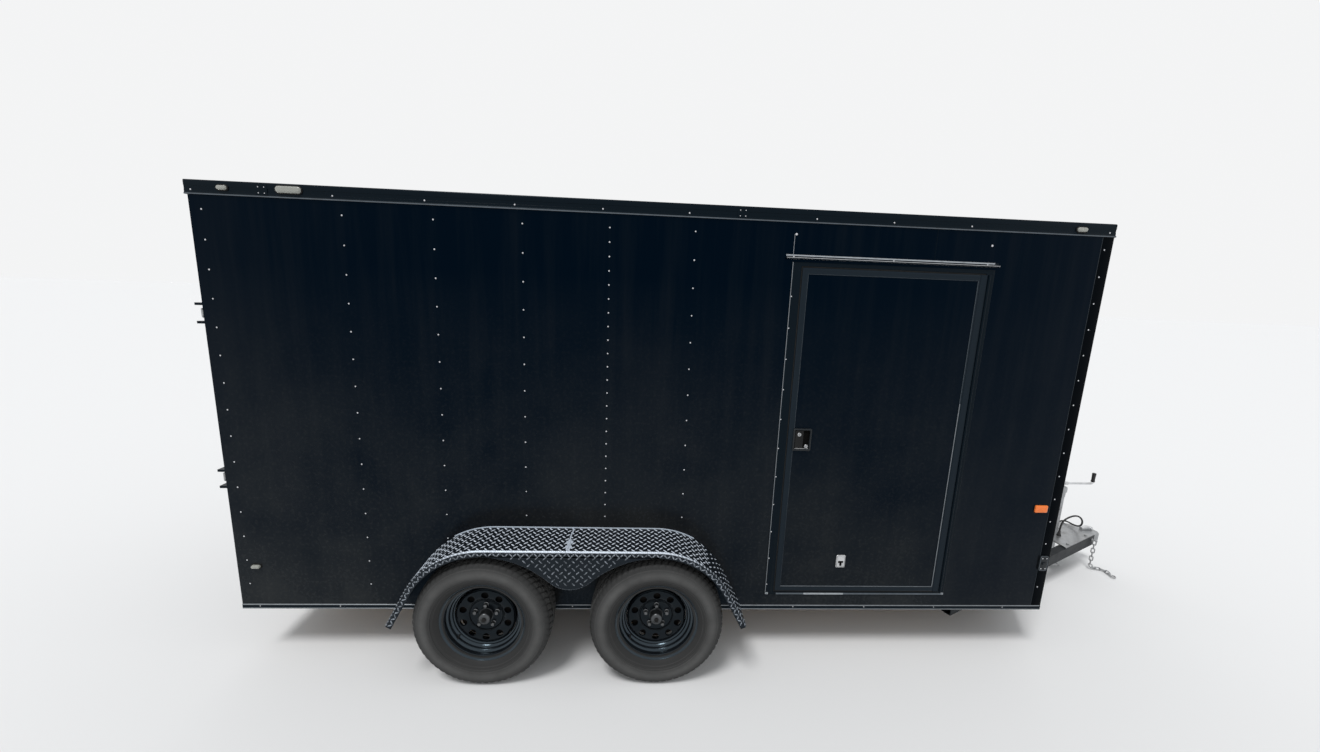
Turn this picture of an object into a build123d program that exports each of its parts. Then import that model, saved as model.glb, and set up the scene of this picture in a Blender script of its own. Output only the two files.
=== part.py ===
"""Enclosed cargo trailer: tandem axle, V nose, side door, rear ramp door.

Stations along the trailer (x) are measured forward from the rear edge of the
side walls, y is to the left, z is up from the ground.  Every piece is moved
once, when it is written, so that the origin is on the ground under the middle
of the overall length.  Lengths are in millimetres, angles in degrees.
"""
from build123d import *
from math import cos, hypot, pi, radians, sin, sqrt, tan
import os

# Body box
BODY_LENGTH = 4380.0
BODY_WIDTH = 1829.0
BODY_HEIGHT = 2121.0
NOSE_LENGTH = 560.0
ROOF_CROWN = 14.0
WALL = 38.0
SKIN_LIP = 4.0
TOP_RAIL_HEIGHT = 56.0
TOP_RAIL_PROUD = 5.0
TOP_RAIL_DEPTH = 10.0
RAIL_LIP_HEIGHT = 7.0
RAIL_LIP_PROUD = 3.0
TRIM_HEIGHT = 27.0
TRIM_PROUD = 4.0
CORNER_LEG = 52.0
CORNER_PROUD = 3.0
NOSE_TRIM_LEG = 42.0
NOSE_TRIM_PROUD = 3.0
GUARD_HEIGHT = 610.0
GUARD_PROUD = 2.0
TRIM_GAP = 2.0

# Frame
FRAME_BELOW_AXLE = 68.0
RAIL_WIDTH = 51.0
RAIL_HEIGHT = 102.0
TUBE_WALL = 4.0
CROSS_WIDTH = 38.0
CROSS_HEIGHT = 76.0
CROSS_FIRST = 256.0
CROSS_PITCH = 406.4
FLOOR_THICKNESS = 19.0
TONGUE_REACH = 767.0
TONGUE_WIDTH = 51.0
TONGUE_HEIGHT = 76.0
TONGUE_ANGLE = 25.0
TONGUE_INSET = 10.0
APEX_AHEAD = 30.0
TONGUE_CUT = 40.0

# Coupler
BALL_BORE_RADIUS = 25.9
BALL_BORE_DEPTH = 30.0
CUP_WALL = 9.0
CUP_CROWN = 23.0
CUP_SKIRT = 8.0
COUPLER_PLATE = 8.0
COUPLER_REACH = 420.0
WEB_GAP = 2.0
LATCH_LENGTH = 110.0
LATCH_WIDTH = 26.0
LATCH_HEIGHT = 34.0

# Jack
JACK_BEHIND = 372.0
JACK_TUBE_RADIUS = 28.5
JACK_TUBE_WALL = 3.5
JACK_TUBE_DROP = 142.0
JACK_TUBE_RISE = 328.0
JACK_CAP_RADIUS = 37.0
JACK_CAP_HEIGHT = 42.0
JACK_BORE_END = 20.0
JACK_FLANGE = 8.0
JACK_FLANGE_RADIUS = 58.0
JACK_LEG_GAP = 0.5
JACK_FOOT_SIZE = 120.0
JACK_FOOT_THICKNESS = 6.0
CRANK_REACH = 245.0
CRANK_RADIUS = 7.0
CRANK_RISE = 22.0
GRIP_RADIUS = 13.0
GRIP_HEIGHT = 86.0

# Safety chains
CHAIN_WIRE = 7.0
CHAIN_LINK_LENGTH = 47.0
CHAIN_LINK_WIDTH = 26.0
CHAIN_LINKS = 11
CHAIN_BITE = 0.6
CHAIN_BEHIND = 132.0
CHAIN_HANG_GAP = 18.0
CHAIN_TOP_DROP = 30.0
CHAIN_BED = 13.0
CHAIN_BEND = 40.0
CHAIN_RUN = 8.0
CHAIN_SWEEP_RADIUS = 46.0
BOLT_OVERRUN = 1.4
HOOK_LENGTH = 62.0
HOOK_WIDTH = 34.0
HOOK_THICKNESS = 9.0

# Trailer cord: section, gland and plug
CORD_RADIUS = 6.0
GLAND_BASE_RADIUS = 15.0
GLAND_TOP_RADIUS = 8.0
PLUG_RADIUS = 21.0
PLUG_LENGTH = 88.0
PLUG_BOOT = 26.0
CORD_LIFT = 1.2
# Route: behind the coupler's nose, left of the middle, above the ground
CORD_ROUTE = [
    (417.0, -95.0, 320.0),
    (417.0, -95.0, 383.0),
    (372.0, -98.0, 431.0),
    (304.0, -97.0, 447.0),
    (247.0, -87.0, 414.0),
    (211.0, -65.0, 360.0),
    (187.0, -24.0, 318.0),
    (174.0, 36.0, 301.0),
    (168.0, 100.0, 301.0),
    (164.0, 156.0, 272.0),
    (161.0, 188.0, 214.0),
    (159.0, 200.0, 148.0),
    (153.0, 211.0, 84.0),
    (132.0, 234.0, 30.0),
    (108.0, 284.0, CORD_RADIUS + CORD_LIFT),
    (122.0, 344.0, CORD_RADIUS + CORD_LIFT),
    (172.0, 384.0, CORD_RADIUS + CORD_LIFT + 3.0),
    (236.0, 396.0, PLUG_RADIUS + CORD_LIFT - 5.0),
    (298.0, 398.0, PLUG_RADIUS + CORD_LIFT),
]

# Wheels and axles
AXLES_BEHIND_MIDDLE = 458.0
AXLE_SPACING = 864.0
TYRE_RADIUS = 340.0
TYRE_WIDTH = 205.0
TYRE_OFFSET = 126.0
TYRE_SIDES = 30
TREAD_HALF = 60.0
SHOULDER_DROP = 7.0
SHOULDER_IN = 26.0
BULGE_DROP = 82.0
BEAD_RADIUS = 190.0
RIM_WIDTH = 147.0
RIM_FLANGE_RADIUS = 208.0
RIM_THICKNESS = 5.0
RIM_WELL_RADIUS = 170.0
DISC_THICKNESS = 7.0
DISC_CROWN = 16.0
DISC_SLOPE = 20.0
DISC_ROOT = 14.0
DISC_SKIN = 4.0
DISC_HOLE_RADIUS = 20.0
DISC_HOLE_CIRCLE = 119.0
DISC_HOLES = 10
LUG_CIRCLE = 57.15
LUG_RADIUS = 10.0
LUG_HEIGHT = 22.0
LUGS = 5
HUB_RADIUS = 43.0
CAP_RADIUS = 34.0
CAP_LENGTH = 52.0
CAP_CHAMFER = 6.0
DRUM_RADIUS = 140.0
DRUM_DEPTH = 74.0
DRUM_WALL = 10.0
BACKING_RADIUS = 134.0
BACKING_THICKNESS = 5.0
SPINDLE_RADIUS = 20.0
SPINDLE_GAP = 0.5
BEAM_SIZE = 76.0
ARM_LENGTH = 150.0
ARM_THICKNESS = 16.0
ARM_WIDTH = 56.0
ARM_GAP = 1.0
STUB_RADIUS = 25.0
STUB_DEPTH = 60.0
RUN_GAP = 6.0

# Fenders
FENDER_PAST_TYRE = 113.0
FENDER_ABOVE_TYRE = 67.0
FENDER_TIP_ABOVE_AXLE = 5.0
FENDER_WIDTH = 229.0
FENDER_SHEET = 3.0
FENDER_ARC = 420.0
FENDER_LEG_ANGLE = 62.0
FENDER_LIP = 32.0
ARCH_RADIUS = 490.0
TEAR_RADIUS = 145.0

# Rear frame and ramp door
POST_WIDTH = 62.0
POST_DEPTH = 60.0
HEADER_HEIGHT = 90.0
SILL_DEPTH = 60.0
RAMP_THICKNESS = 38.0
RAMP_GAP = 7.0
PIVOT_BACK = 10.0
PIVOT_RADIUS = 8.0
PIVOT_RISE = 20.0
KNUCKLE_LENGTH = 60.0
KNUCKLE_GAP = 1.0
KNUCKLE_PAIRS = 5
STRAP_THICKNESS = 2.0
SILL_STRAP = 30.0
RAMP_STRAP = 40.0
LOCK_INSET = 95.0
LOCK_PIPE_RADIUS = 13.5
LOCK_STANDOFF = 22.0
LOCK_ABOVE_FRAME = 612.0
LOCK_BELOW_ROOF = 585.0
LOCK_OVERRUN = 60.0
CAM_HEIGHT = 46.0
CAM_THICKNESS = 14.0
GUIDE_HEIGHT = 30.0
GUIDE_WIDTH = 40.0
GUIDE_OFFSET = 60.0
KEEPER_PRONG = 12.0
KEEPER_GAP = 14.0
KEEPER_INSET = 8.0
HANDLE_LENGTH = 330.0
HANDLE_THICKNESS = 10.0
HANDLE_HEIGHT = 36.0

# Plate holder
PLATE_WIDTH = 305.0
PLATE_HEIGHT = 152.0
PLATE_SHEET = 3.0
PLATE_OFFSET = 480.0
PLATE_STANDOFF = 12.0
PLATE_TOP_ABOVE_SILL = 70.0
PLATE_HOLE_RADIUS = 3.5
PLATE_HOLE_SPACING = 177.8
PLATE_HOLE_INSET = 16.0
PLATE_LEG_WIDTH = 30.0
PLATE_LEG_HEIGHT = 40.0
PLATE_LEG_SPACING = 120.0

# Side door
DOOR_WIDTH = 922.0
DOOR_AHEAD = 637.0
DOOR_ABOVE_FRAME = 16.0
DOOR_BELOW_ROOF = 264.0
DOOR_PROUD = 6.0
DOOR_GAP = 7.0
DOOR_BAND = 24.0
DOOR_POCKET = 2.0
JAMB = 4.0
CASING_REAR = 51.0
CASING_FRONT = 47.0
CASING_TOP = 24.0
CASING_BOTTOM = 21.0
HINGE_AHEAD = 20.0
HINGE_RADIUS = 6.0
HINGE_LEAF = 3.0
HINGE_KNUCKLES = 9
HINGE_STRAP = 20.0
HINGE_STRIP = 12.0
LATCH_PLATE = (98.0, 12.0, 120.0)
LATCH_RISE = 870.0
LATCH_RIM = 10.0
LATCH_POCKET = 8.0
PADDLE_WIDTH = 46.0
PADDLE_PROUD = 5.0
KEY_RADIUS = 11.0
KEY_GAP = 4.0
HOLDBACK_PLATE = (59.0, 6.0, 83.0)
HOLDBACK_FROM_EDGE = 568.0
HOLDBACK_RISE = 176.0
SLOT_WIDTH = 30.0
SLOT_STEM = 9.0
SLOT_HEIGHT = 26.0
SLOT_DEPTH = 3.0
CATCH_PLATE = (48.0, 8.0, 90.0)
CATCH_STUD = (24.0, 7.0, 14.0)
DRIP_OVERHANG_REAR = 36.0
DRIP_OVERHANG_FRONT = 18.0
DRIP_ABOVE = 14.0
DRIP_HEIGHT = 22.0
DRIP_DEPTH = 16.0
DRIP_LIP = 6.0

# Lamps on the side walls
SIDE_LAMPS = [
    # end, from that end, level, above that level, length, height
    ("rear", 156.0, "roof", -23.0, 50.0, 24.0),
    ("rear", 442.0, "roof", -19.0, 117.0, 34.0),
    ("front", 178.0, "roof", -27.0, 58.0, 26.0),
    ("rear", 95.0, "frame", 243.0, 50.0, 24.0),
]
LAMP_PROUD = 12.0
AMBER_BACK = 105.0
AMBER_RISE = 617.0
AMBER_SIZE = (78.0, 18.0, 46.0)
TAIL_LAMP = (165.0, 10.0, 58.0)
TAIL_INSET = 150.0
TAIL_DROP = 10.0
HEADER_LAMP = (62.0, 10.0, 22.0)
HEADER_LAMP_SPACING = 150.0
HEADER_LAMP_DROP = 45.0

# Derived places
HALF = BODY_WIDTH / 2
INNER = HALF - WALL
FRAME_BOTTOM = TYRE_RADIUS - FRAME_BELOW_AXLE
FRAME_TOP = FRAME_BOTTOM + RAIL_HEIGHT
FLOOR_TOP = FRAME_TOP + FLOOR_THICKNESS
ROOF_EDGE = FRAME_BOTTOM + BODY_HEIGHT
WALL_TOP = ROOF_EDGE - TOP_RAIL_HEIGHT
NOSE_TIP = BODY_LENGTH + NOSE_LENGTH
NOSE_SIDE = hypot(NOSE_LENGTH, HALF)
RAIL_OUT = HALF - SKIN_LIP
RAIL_IN = RAIL_OUT - RAIL_WIDTH
TONGUE_BOTTOM = FRAME_BOTTOM - TONGUE_HEIGHT
TONGUE_SLOPE = tan(radians(TONGUE_ANGLE))
COUPLER_NOSE = NOSE_TIP + TONGUE_REACH
CUP_RADIUS = BALL_BORE_RADIUS + CUP_WALL
BALL_STATION = COUPLER_NOSE - CUP_RADIUS
APEX = BALL_STATION + APEX_AHEAD
TONGUE_FRONT = COUPLER_NOSE - 2 * CUP_RADIUS - TONGUE_CUT
PLATE_TOP = FRAME_BOTTOM + COUPLER_PLATE
JACK_STATION = COUPLER_NOSE - JACK_BEHIND
AXLE_HEIGHT = TYRE_RADIUS
AXLES_MIDDLE = BODY_LENGTH / 2 - AXLES_BEHIND_MIDDLE
WHEEL_STATIONS = {
    "rear": AXLES_MIDDLE - AXLE_SPACING / 2,
    "front": AXLES_MIDDLE + AXLE_SPACING / 2,
}
WHEEL_Y = HALF + TYRE_OFFSET
FENDER_LENGTH = AXLE_SPACING + 2 * (TYRE_RADIUS + FENDER_PAST_TYRE)
FENDER_TOP = 2 * TYRE_RADIUS + FENDER_ABOVE_TYRE
FENDER_TIP = AXLE_HEIGHT + FENDER_TIP_ABOVE_AXLE
OPENING = HALF - POST_WIDTH
PIVOT_Z = FRAME_TOP + PIVOT_RISE
LOCK_LOW = FRAME_TOP + LOCK_ABOVE_FRAME
LOCK_HIGH = ROOF_EDGE - LOCK_BELOW_ROOF
LOCK_BACK = LOCK_STANDOFF + LOCK_PIPE_RADIUS
DOOR_FRONT = BODY_LENGTH - DOOR_AHEAD
DOOR_REAR = DOOR_FRONT - DOOR_WIDTH
DOOR_BOTTOM = FRAME_TOP + DOOR_ABOVE_FRAME
DOOR_TOP = ROOF_EDGE - DOOR_BELOW_ROOF
DOOR_FACE = -(HALF + DOOR_PROUD)
HINGE_STATION = DOOR_FRONT + HINGE_AHEAD
HINGE_Y = DOOR_FACE - HINGE_RADIUS
HOLDBACK_STATION = DOOR_FRONT - HOLDBACK_FROM_EDGE
HOLDBACK_HEIGHT = DOOR_BOTTOM + HOLDBACK_RISE
REAR_MOST = -(LOCK_BACK + LOCK_PIPE_RADIUS)
MIDDLE = (COUPLER_NOSE + REAR_MOST) / 2

nodes = {}


def block(x0, x1, y0, y1, z0, z1):
    """Axis-aligned box between two corners."""
    centre = Pos((x0 + x1) / 2, (y0 + y1) / 2, (z0 + z1) / 2)
    return centre * Box(abs(x1 - x0), abs(y1 - y0), abs(z1 - z0))


def plan(points, z0, z1):
    """Prism from an outline seen from above, points (x, y)."""
    outline = make_face(Polyline(*[(x, y, z0) for x, y in points], close=True))
    return extrude(outline, amount=z1 - z0, dir=(0, 0, 1))


def side_view(edges, y0, y1):
    """Prism from an outline seen from the side; edges lie in the plane y = y0."""
    return extrude(make_face(edges), amount=y1 - y0, dir=(0, 1, 0))


def rod(start, end, radius):
    """Round bar between two points."""
    axis = Vector(*end) - Vector(*start)
    place = Plane(origin=start, z_dir=axis)
    return extrude(place * Circle(radius), amount=axis.length)


def taper(start, end, radius0, radius1):
    """Round bar whose radius changes from one end to the other."""
    axis = Vector(*end) - Vector(*start)
    place = Plane(origin=start, z_dir=axis)
    low_end = (Align.CENTER, Align.CENTER, Align.MIN)
    return place * Cone(radius0, radius1, axis.length, align=low_end)


def left(shape):
    """The same shape on the other side of the trailer."""
    return mirror(shape, about=Plane.XZ)


def both(*shapes):
    """Right-hand solids and their left-hand twins, as one node."""
    return Compound(children=[*shapes, *[left(shape) for shape in shapes]])


def beam(start, end, width, z0, z1, wall):
    """Hollow rectangular member between two plan points, square cut."""
    run = hypot(end[0] - start[0], end[1] - start[1])
    along = ((end[0] - start[0]) / run, (end[1] - start[1]) / run)
    across = (-along[1], along[0])

    def outline(half, grow):
        a = (start[0] - along[0] * grow, start[1] - along[1] * grow)
        b = (end[0] + along[0] * grow, end[1] + along[1] * grow)
        return [
            (a[0] + across[0] * half, a[1] + across[1] * half),
            (b[0] + across[0] * half, b[1] + across[1] * half),
            (b[0] - across[0] * half, b[1] - across[1] * half),
            (a[0] - across[0] * half, a[1] - across[1] * half),
        ]

    solid = plan(outline(width / 2, 0.0), z0, z1)
    return solid - plan(outline(width / 2 - wall, wall), z0 + wall, z1 - wall)


def nose_line(depth):
    """Right half of the V at a distance inside the outer skin: the point where it
    starts at the side wall's front edge, and the one where it meets the middle."""
    shift = depth * NOSE_SIDE / NOSE_LENGTH
    tip_x = BODY_LENGTH + (HALF - shift) * NOSE_LENGTH / HALF
    return (BODY_LENGTH, shift - HALF), (tip_x, 0.0)


def nose_band(depth0, depth1, z0, z1):
    """Right half of a V-shaped band between two depths, up to the middle plane."""
    a, b = nose_line(depth0)
    d, c = nose_line(depth1)
    return plan([a, b, c, d], z0, z1)


def nose_strip(depth0, depth1, from_corner, to_corner, z0, z1):
    """Part of the right-hand band, between two distances from the front corner."""

    def along(depth, distance):
        a, b = nose_line(depth)
        share = distance / NOSE_SIDE
        return (a[0] + (b[0] - a[0]) * share, a[1] + (b[1] - a[1]) * share)

    return plan(
        [along(depth0, from_corner), along(depth0, to_corner),
         along(depth1, to_corner), along(depth1, from_corner)],
        z0, z1,
    )


def frame_nodes():
    """Main rails, crossmembers and the V under the nose."""
    y_mid = -(RAIL_IN + RAIL_OUT) / 2
    rail = beam((SILL_DEPTH, y_mid), (BODY_LENGTH, y_mid), RAIL_WIDTH, FRAME_BOTTOM, FRAME_TOP, TUBE_WALL)
    nodes["frame_rails"] = both(rail)
    nose_rail = nose_band(SKIN_LIP, SKIN_LIP + RAIL_WIDTH, FRAME_BOTTOM, FRAME_TOP)
    nodes["nose_rails"] = nose_rail + left(nose_rail)
    bars = []
    station = CROSS_FIRST
    while station + CROSS_WIDTH < BODY_LENGTH:
        bars.append(
            block(station, station + CROSS_WIDTH, -RAIL_IN, RAIL_IN, FRAME_TOP - CROSS_HEIGHT, FRAME_TOP)
        )
        station += CROSS_PITCH
    nodes["crossmembers"] = Compound(children=bars)


def tongue_y(x):
    """Distance of a tongue rail's centre line from the middle, at a station."""
    return (APEX - x) * TONGUE_SLOPE


def tongue_nodes():
    """The two rails of the A frame and the coupler that joins them."""
    rear_y = RAIL_IN - TONGUE_INSET
    rear_x = APEX - rear_y / TONGUE_SLOPE
    rail = beam(
        (rear_x, -rear_y), (TONGUE_FRONT, -tongue_y(TONGUE_FRONT)),
        TONGUE_WIDTH, TONGUE_BOTTOM, FRAME_BOTTOM, TUBE_WALL,
    )
    nodes["tongue_rails"] = both(rail)
    cup_bottom = TONGUE_BOTTOM + CUP_SKIRT
    cup_top = cup_bottom + BALL_BORE_DEPTH + CUP_CROWN
    back_x = TONGUE_FRONT - COUPLER_REACH
    half_back = tongue_y(back_x) + TONGUE_WIDTH / 2
    half_front = tongue_y(TONGUE_FRONT) + TONGUE_WIDTH / 2
    plate = plan(
        [(back_x, -half_back), (TONGUE_FRONT, -half_front), (BALL_STATION, -CUP_RADIUS),
         (BALL_STATION, CUP_RADIUS), (TONGUE_FRONT, half_front), (back_x, half_back)],
        FRAME_BOTTOM, PLATE_TOP,
    )
    cup = rod((BALL_STATION, 0, cup_bottom), (BALL_STATION, 0, cup_top), CUP_RADIUS)
    web = block(TONGUE_FRONT + WEB_GAP, BALL_STATION, -CUP_RADIUS, CUP_RADIUS, cup_bottom, FRAME_BOTTOM)
    bore_top = cup_bottom + BALL_BORE_DEPTH
    socket = rod((BALL_STATION, 0, cup_bottom), (BALL_STATION, 0, bore_top), BALL_BORE_RADIUS)
    dome = taper(
        (BALL_STATION, 0, bore_top), (BALL_STATION, 0, bore_top + CUP_CROWN / 2),
        BALL_BORE_RADIUS, BALL_BORE_RADIUS / 2,
    )
    hole = rod(
        (JACK_STATION, 0, FRAME_BOTTOM - COUPLER_PLATE), (JACK_STATION, 0, PLATE_TOP + COUPLER_PLATE),
        JACK_TUBE_RADIUS,
    )
    nodes["coupler"] = cup + web + plate - socket - dome - hole
    nodes["coupler_latch"] = block(
        BALL_STATION - LATCH_LENGTH, BALL_STATION - CUP_RADIUS / 2, -LATCH_WIDTH / 2, LATCH_WIDTH / 2,
        PLATE_TOP, PLATE_TOP + LATCH_HEIGHT,
    )


def jack_nodes():
    """Top-wind jack: fixed tube and head, crank, and the leg that slides inside."""
    bottom = FRAME_BOTTOM - JACK_TUBE_DROP
    top = FRAME_BOTTOM + JACK_TUBE_RISE
    cap_top = top + JACK_CAP_HEIGHT
    bore_radius = JACK_TUBE_RADIUS - JACK_TUBE_WALL
    bore_top = top - JACK_BORE_END

    def upright(z0, z1, radius):
        return rod((JACK_STATION, 0, z0), (JACK_STATION, 0, z1), radius)

    outer = upright(bottom, top, JACK_TUBE_RADIUS)
    flange = upright(PLATE_TOP, PLATE_TOP + JACK_FLANGE, JACK_FLANGE_RADIUS)
    cap = upright(top, cap_top, JACK_CAP_RADIUS)
    nodes["jack_tube"] = outer + flange + cap - upright(bottom - JACK_FOOT_THICKNESS, bore_top, bore_radius)
    arm_z = cap_top + CRANK_RISE
    grip_x = JACK_STATION + CRANK_REACH
    post = upright(cap_top, arm_z + CRANK_RADIUS, CRANK_RADIUS)
    arm = rod((JACK_STATION, 0, arm_z), (grip_x, 0, arm_z), CRANK_RADIUS)
    grip = rod((grip_x, 0, arm_z - CRANK_RADIUS), (grip_x, 0, arm_z + GRIP_HEIGHT), GRIP_RADIUS)
    nodes["jack_crank"] = post + arm + grip
    travel = bottom - JACK_FOOT_THICKNESS
    half = JACK_FOOT_SIZE / 2
    foot = block(JACK_STATION - half, JACK_STATION + half, -half, half, 0, JACK_FOOT_THICKNESS)
    nodes["jack_leg"] = upright(0, bore_top - travel, bore_radius - JACK_LEG_GAP) + foot


def bolt_root():
    """Where the chain's bolt leaves the outer face of the right-hand tongue rail."""
    x = COUPLER_NOSE - CHAIN_BEHIND
    return x, -(tongue_y(x) + TONGUE_WIDTH / 2 / cos(radians(TONGUE_ANGLE)))


def chain_spots():
    """Joints of one chain, a link apart: straight down from the end of a bolt in the
    tongue's side, round onto the ground, forward, and away to the side."""
    bolt_x, bolt_y = bolt_root()
    hang_x = bolt_x + CHAIN_HANG_GAP * sin(radians(TONGUE_ANGLE))
    hang_y = bolt_y - CHAIN_HANG_GAP * cos(radians(TONGUE_ANGLE))
    drop = FRAME_BOTTOM - CHAIN_TOP_DROP - CHAIN_BED - CHAIN_BEND
    bend = CHAIN_BEND * pi / 2
    pitch = CHAIN_LINK_LENGTH - 2 * CHAIN_WIRE - CHAIN_BITE
    spots = []
    for i in range(CHAIN_LINKS + 1):
        s = i * pitch
        if s <= drop:
            spots.append((hang_x, hang_y, FRAME_BOTTOM - CHAIN_TOP_DROP - s))
        elif s <= drop + bend:
            turn = (s - drop) / CHAIN_BEND
            spots.append(
                (hang_x + CHAIN_BEND * (1 - cos(turn)), hang_y, CHAIN_BED + CHAIN_BEND * (1 - sin(turn)))
            )
        elif s <= drop + bend + CHAIN_RUN:
            spots.append((hang_x + CHAIN_BEND + s - drop - bend, hang_y, CHAIN_BED))
        else:
            turn = (s - drop - bend - CHAIN_RUN) / CHAIN_SWEEP_RADIUS
            spots.append(
                (hang_x + CHAIN_BEND + CHAIN_RUN + CHAIN_SWEEP_RADIUS * sin(turn),
                 hang_y - CHAIN_SWEEP_RADIUS * (1 - cos(turn)), CHAIN_BED)
            )
    return spots


def chain_link(start, end, lean):
    """One link between two joints: a long ring of square wire with cut corners, which
    leans an eighth of a turn about the chain's line, one way or the other."""
    axis = Vector(*end) - Vector(*start)
    sideways = Vector(0, 1, 0) if abs(axis.Z) > abs(axis.Y) + abs(axis.X) else Vector(0, 0, 1)
    flat = axis.cross(sideways).normalized()
    normal = flat + axis.normalized().cross(flat) * lean
    place = Plane(origin=(Vector(*start) + Vector(*end)) / 2, x_dir=axis, z_dir=normal)
    half = CHAIN_WIRE / 2

    def ring(length, width):
        cut = width / 4
        a = length / 2
        b = width / 2
        return Polyline(
            (a, cut), (a - cut, b), (cut - a, b), (-a, cut),
            (-a, -cut), (cut - a, -b), (a - cut, -b), (a, -cut), close=True,
        )

    length = axis.length + 2 * CHAIN_WIRE + CHAIN_BITE
    outer = make_face(ring(length, CHAIN_LINK_WIDTH))
    inner = make_face(ring(length - 2 * CHAIN_WIRE, CHAIN_LINK_WIDTH - 2 * CHAIN_WIRE))
    return extrude(place * (outer - inner), amount=half, both=True)


def chain_nodes():
    """Two safety chains that hang from the tongue and lie on the ground, each with a hook."""
    spots = chain_spots()
    links = [
        chain_link(a, b, 1 if i % 2 else -1) for i, (a, b) in enumerate(zip(spots, spots[1:]))
    ]
    heading = (Vector(*spots[-1]) - Vector(*spots[-2])).normalized()
    flat = Plane(origin=spots[-1], x_dir=heading, z_dir=(0, 0, 1))
    mouth = HOOK_WIDTH / 2
    bar = HOOK_THICKNESS
    outline = [
        (-bar, -bar / 2), (HOOK_LENGTH / 3, -mouth), (HOOK_LENGTH - bar, -mouth), (HOOK_LENGTH, -mouth / 2),
        (HOOK_LENGTH, mouth / 2), (HOOK_LENGTH - bar, mouth), (HOOK_LENGTH / 2, mouth),
        (HOOK_LENGTH / 2, mouth - bar), (HOOK_LENGTH - 2 * bar, mouth - bar), (HOOK_LENGTH - bar, 0),
        (HOOK_LENGTH - 2 * bar, bar - mouth), (HOOK_LENGTH / 3 + bar / 2, bar - mouth), (-bar, bar / 2),
    ]
    hook = extrude(flat * make_face(Polyline(*outline, close=True)), amount=bar / 2, both=True)
    root = Vector(*bolt_root(), spots[0][2])
    bolt = rod(tuple(root), tuple(root + (Vector(*spots[0]) - root) * BOLT_OVERRUN), CHAIN_WIRE / 2)
    chain = links[0].fuse(*links[1:], hook, bolt)
    nodes["safety_chains"] = both(chain)


def cord_nodes():
    """Trailer cord: gland on the coupler's plate, the tube, and the plug on the ground."""
    points = [Vector(COUPLER_NOSE - back, y, z) for back, y, z in CORD_ROUTE]
    radii = []
    for a, b, c in zip(points, points[1:], points[2:]):
        turn = radians((b - a).get_angle(c - b))
        radii.append(0.45 * min((b - a).length, (c - b).length) / tan(turn / 2))
    print("cord radii", [round(r) for r in radii])
    route = FilletPolyline(*points, radius=radii)
    section = Plane(origin=points[0], z_dir=points[1] - points[0]) * Circle(CORD_RADIUS)
    cord = sweep(section, path=route)
    length = route.length
    print("cord length", round(length), "volume over section times length",
          round(cord.volume / (pi * CORD_RADIUS ** 2 * length), 4))
    nodes["trailer_cord"] = cord
    exit_x, exit_y, exit_z = points[0]
    nodes["cord_gland"] = taper(
        (exit_x, exit_y, PLATE_TOP), (exit_x, exit_y, exit_z), GLAND_BASE_RADIUS, GLAND_TOP_RADIUS
    )
    end = points[-1]
    heading = (points[-1] - points[-2]).normalized()
    boot_end = end + heading * PLUG_BOOT
    plug_end = boot_end + heading * PLUG_LENGTH
    boot = taper(tuple(end), tuple(boot_end), CORD_RADIUS + RIM_THICKNESS / 2, PLUG_RADIUS * 0.8)
    nodes["cord_plug"] = boot + rod(tuple(boot_end), tuple(plug_end), PLUG_RADIUS)


def body_nodes():
    """Floor, walls, nose panels and roof, each as thick as the real panel."""
    inner_a, inner_b = nose_line(WALL)
    main_floor = block(POST_DEPTH, BODY_LENGTH, -INNER, INNER, FRAME_TOP, FLOOR_TOP)
    over_sill = block(RAMP_THICKNESS + RAMP_GAP, POST_DEPTH, -OPENING, OPENING, FRAME_TOP, FLOOR_TOP)
    nose_floor = plan([inner_a, inner_b, (inner_a[0], -inner_a[1])], FRAME_TOP, FLOOR_TOP)
    nodes["floor_deck"] = main_floor + over_sill + nose_floor
    wall = block(POST_DEPTH, BODY_LENGTH, -HALF, -INNER, FRAME_TOP, WALL_TOP)
    lip = block(POST_DEPTH, BODY_LENGTH, -HALF, -RAIL_OUT, FRAME_BOTTOM, FRAME_TOP)
    plain_wall = wall + lip
    nodes["wall_left"] = left(plain_wall)
    cut = block(
        DOOR_REAR - DOOR_GAP - JAMB, DOOR_FRONT + DOOR_GAP + JAMB, -HALF - JAMB, -INNER + JAMB,
        FRAME_TOP, DOOR_TOP + DOOR_GAP + JAMB,
    )
    nodes["wall_right"] = plain_wall - cut
    nose = nose_band(0, WALL, FRAME_TOP, WALL_TOP) + nose_band(0, SKIN_LIP, FRAME_BOTTOM, FRAME_TOP)
    nodes["nose_walls"] = nose + left(nose)
    half = HALF + TOP_RAIL_PROUD - TOP_RAIL_DEPTH
    crown = ROOF_EDGE + ROOF_CROWN
    section = [
        Line((0, -half, WALL_TOP), (0, half, WALL_TOP)),
        Line((0, half, WALL_TOP), (0, half, ROOF_EDGE)),
        ThreePointArc((0, half, ROOF_EDGE), (0, 0, crown), (0, -half, ROOF_EDGE)),
        Line((0, -half, ROOF_EDGE), (0, -half, WALL_TOP)),
    ]
    slab = extrude(make_face(section), amount=NOSE_TIP, dir=(1, 0, 0))
    a, b = nose_line(TOP_RAIL_DEPTH - TOP_RAIL_PROUD)
    corner = BODY_LENGTH - (half + a[1]) * NOSE_LENGTH / HALF
    outline = [(0, -half), (corner, -half), b, (corner, half), (0, half)]
    nodes["roof"] = slab & plan(outline, WALL_TOP - ROOF_CROWN, crown + ROOF_CROWN)


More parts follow.
